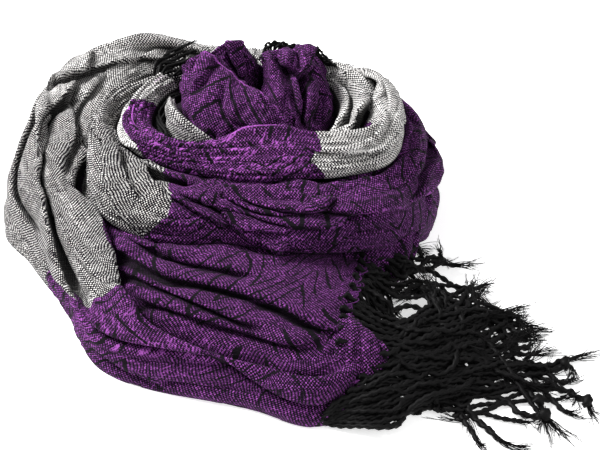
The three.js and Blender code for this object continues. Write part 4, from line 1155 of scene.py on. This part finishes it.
bundle = Bundle()
for k in range(TOP_THREADS):
    t = (k + 0.5) / TOP_THREADS
    x = 2 + 30 * t
    lift = rng.uniform(0, 3.5)
    spots = [
        (x + 4, 30 - 4 * t * t, 66),
        (x + 5, 26 - 3 * t, 81 + 0.6 * lift),
        (x + 9, 25 - 2 * t, 84 - 5 * t + 0.5 * lift),
        (x + 15, 29 - 3 * t, 80 - 10 * t + 0.5 * lift),
        (1.2 * x + 18, 38 - 4 * t + 2 * math.sin(3 * k), 70 - 8 * t + lift),
    ]
    waypoints = [np.array([HEAP_AXIS[0] + a, HEAP_AXIS[1] + b, c]) for a, b, c in spots]
    add_cord(bundle, bundle, rng, waypoints, THREAD_RADIUS, 0.6, 5, floor=45)
fringe_top = dressed(bundle.piece("fringe_top_threads"), cord_black, "fringe", "fringe_top")

# Loops of weft that have worked loose along the hem
bundle = Bundle()
for _ in range(HEM_LOOPS):
    lane = rng.uniform(0.0, 1.0)
    root = hem_root(lane, 0.6)
    ahead = hem_root(min(lane + 0.012, 1.0), 0.6)
    out = rng.uniform(1.5, 4.0)
    away = np.array([1.0, 0.1, 0.25]) * out + rng.normal(0, 0.8, 3)
    loop = smooth_rows([root, root + away, ahead + away * rng.uniform(0.5, 1), ahead], 10)
    loop[:, 2] = np.maximum(loop[:, 2], 0.4)
    bundle.add(*tube(loop, LOOP_RADIUS, 3))
hem_loops = dressed(bundle.piece("hem_loops"), thread_purple, "cloth_purple")

# What shows of the hidden layers: the same form, creased inwards
layers_form = bmesh.new()
layers_form.from_mesh(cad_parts["hidden_layers"].data)
bmesh.ops.subdivide_edges(layers_form, edges=layers_form.edges[:], cuts=3, use_grid_fill=True)
layers_form.normal_update()
spots = np.array([vertex.co[:] for vertex in layers_form.verts]) / MM
directions = np.array([vertex.normal[:] for vertex in layers_form.verts])
around = np.arctan2(spots[:, 1] - HEAP_AXIS[1], spots[:, 0] - HEAP_AXIS[0])
outward = np.hypot(spots[:, 1] - HEAP_AXIS[1], spots[:, 0] - HEAP_AXIS[0])
relief, crease_shade = crumple(around * 90, outward, 33)
sunk = 1.2 * np.clip(1 - relief / 2.5, 0, 1.6) * (spots[:, 2] > 0.5)
spots -= directions * sunk[:, None]
spots[:, 2] = np.maximum(spots[:, 2], 0)
layers_faces = [[corner.index for corner in face.verts] for face in layers_form.faces]
layers_form.free()
inner_layers = mesh_object("inner_layers", spots, layers_faces)
dressed(inner_layers, layers_material("shadowed_layers"), "cloth_grey", "hidden_layers")

# Table, lights and backdrop
bpy.ops.mesh.primitive_plane_add(size=6.0, location=(0, 0, -0.0001))
table = bpy.context.object
table.name = "table"
white = Shade("white_table")
white.bsdf.inputs["Base Color"].default_value = (0.93, 0.93, 0.93, 1)
white.bsdf.inputs["Roughness"].default_value = 0.7
white.bsdf.inputs["Emission Color"].default_value = (1, 1, 1, 1)
white.bsdf.inputs["Emission Strength"].default_value = 0.6
table.data.materials.append(white.material)


def softbox(name, place, aim, size, power):
    light = bpy.data.lights.new(name, "AREA")
    light.shape = "RECTANGLE"
    light.size, light.size_y = size
    light.energy = power
    lamp = bpy.data.objects.new(name, light)
    lamp.location = place
    lamp.rotation_euler = (Vector(aim) - Vector(place)).to_track_quat("-Z", "Y").to_euler()
    bpy.context.collection.objects.link(lamp)


softbox("key", (-0.80, 0.30, 0.92), (0, 0, 0.03), (0.45, 0.45), 30)
softbox("fill", (1.0, -0.6, 0.75), (0, 0, 0.03), (0.8, 0.8), 5.5)
world = bpy.data.worlds.new("world")
world.use_nodes = True
world.node_tree.nodes["Background"].inputs[0].default_value = (1, 1, 1, 1)
world.node_tree.nodes["Background"].inputs[1].default_value = 0.4
bpy.context.scene.world = world
bpy.context.scene.view_settings.view_transform = "Standard"
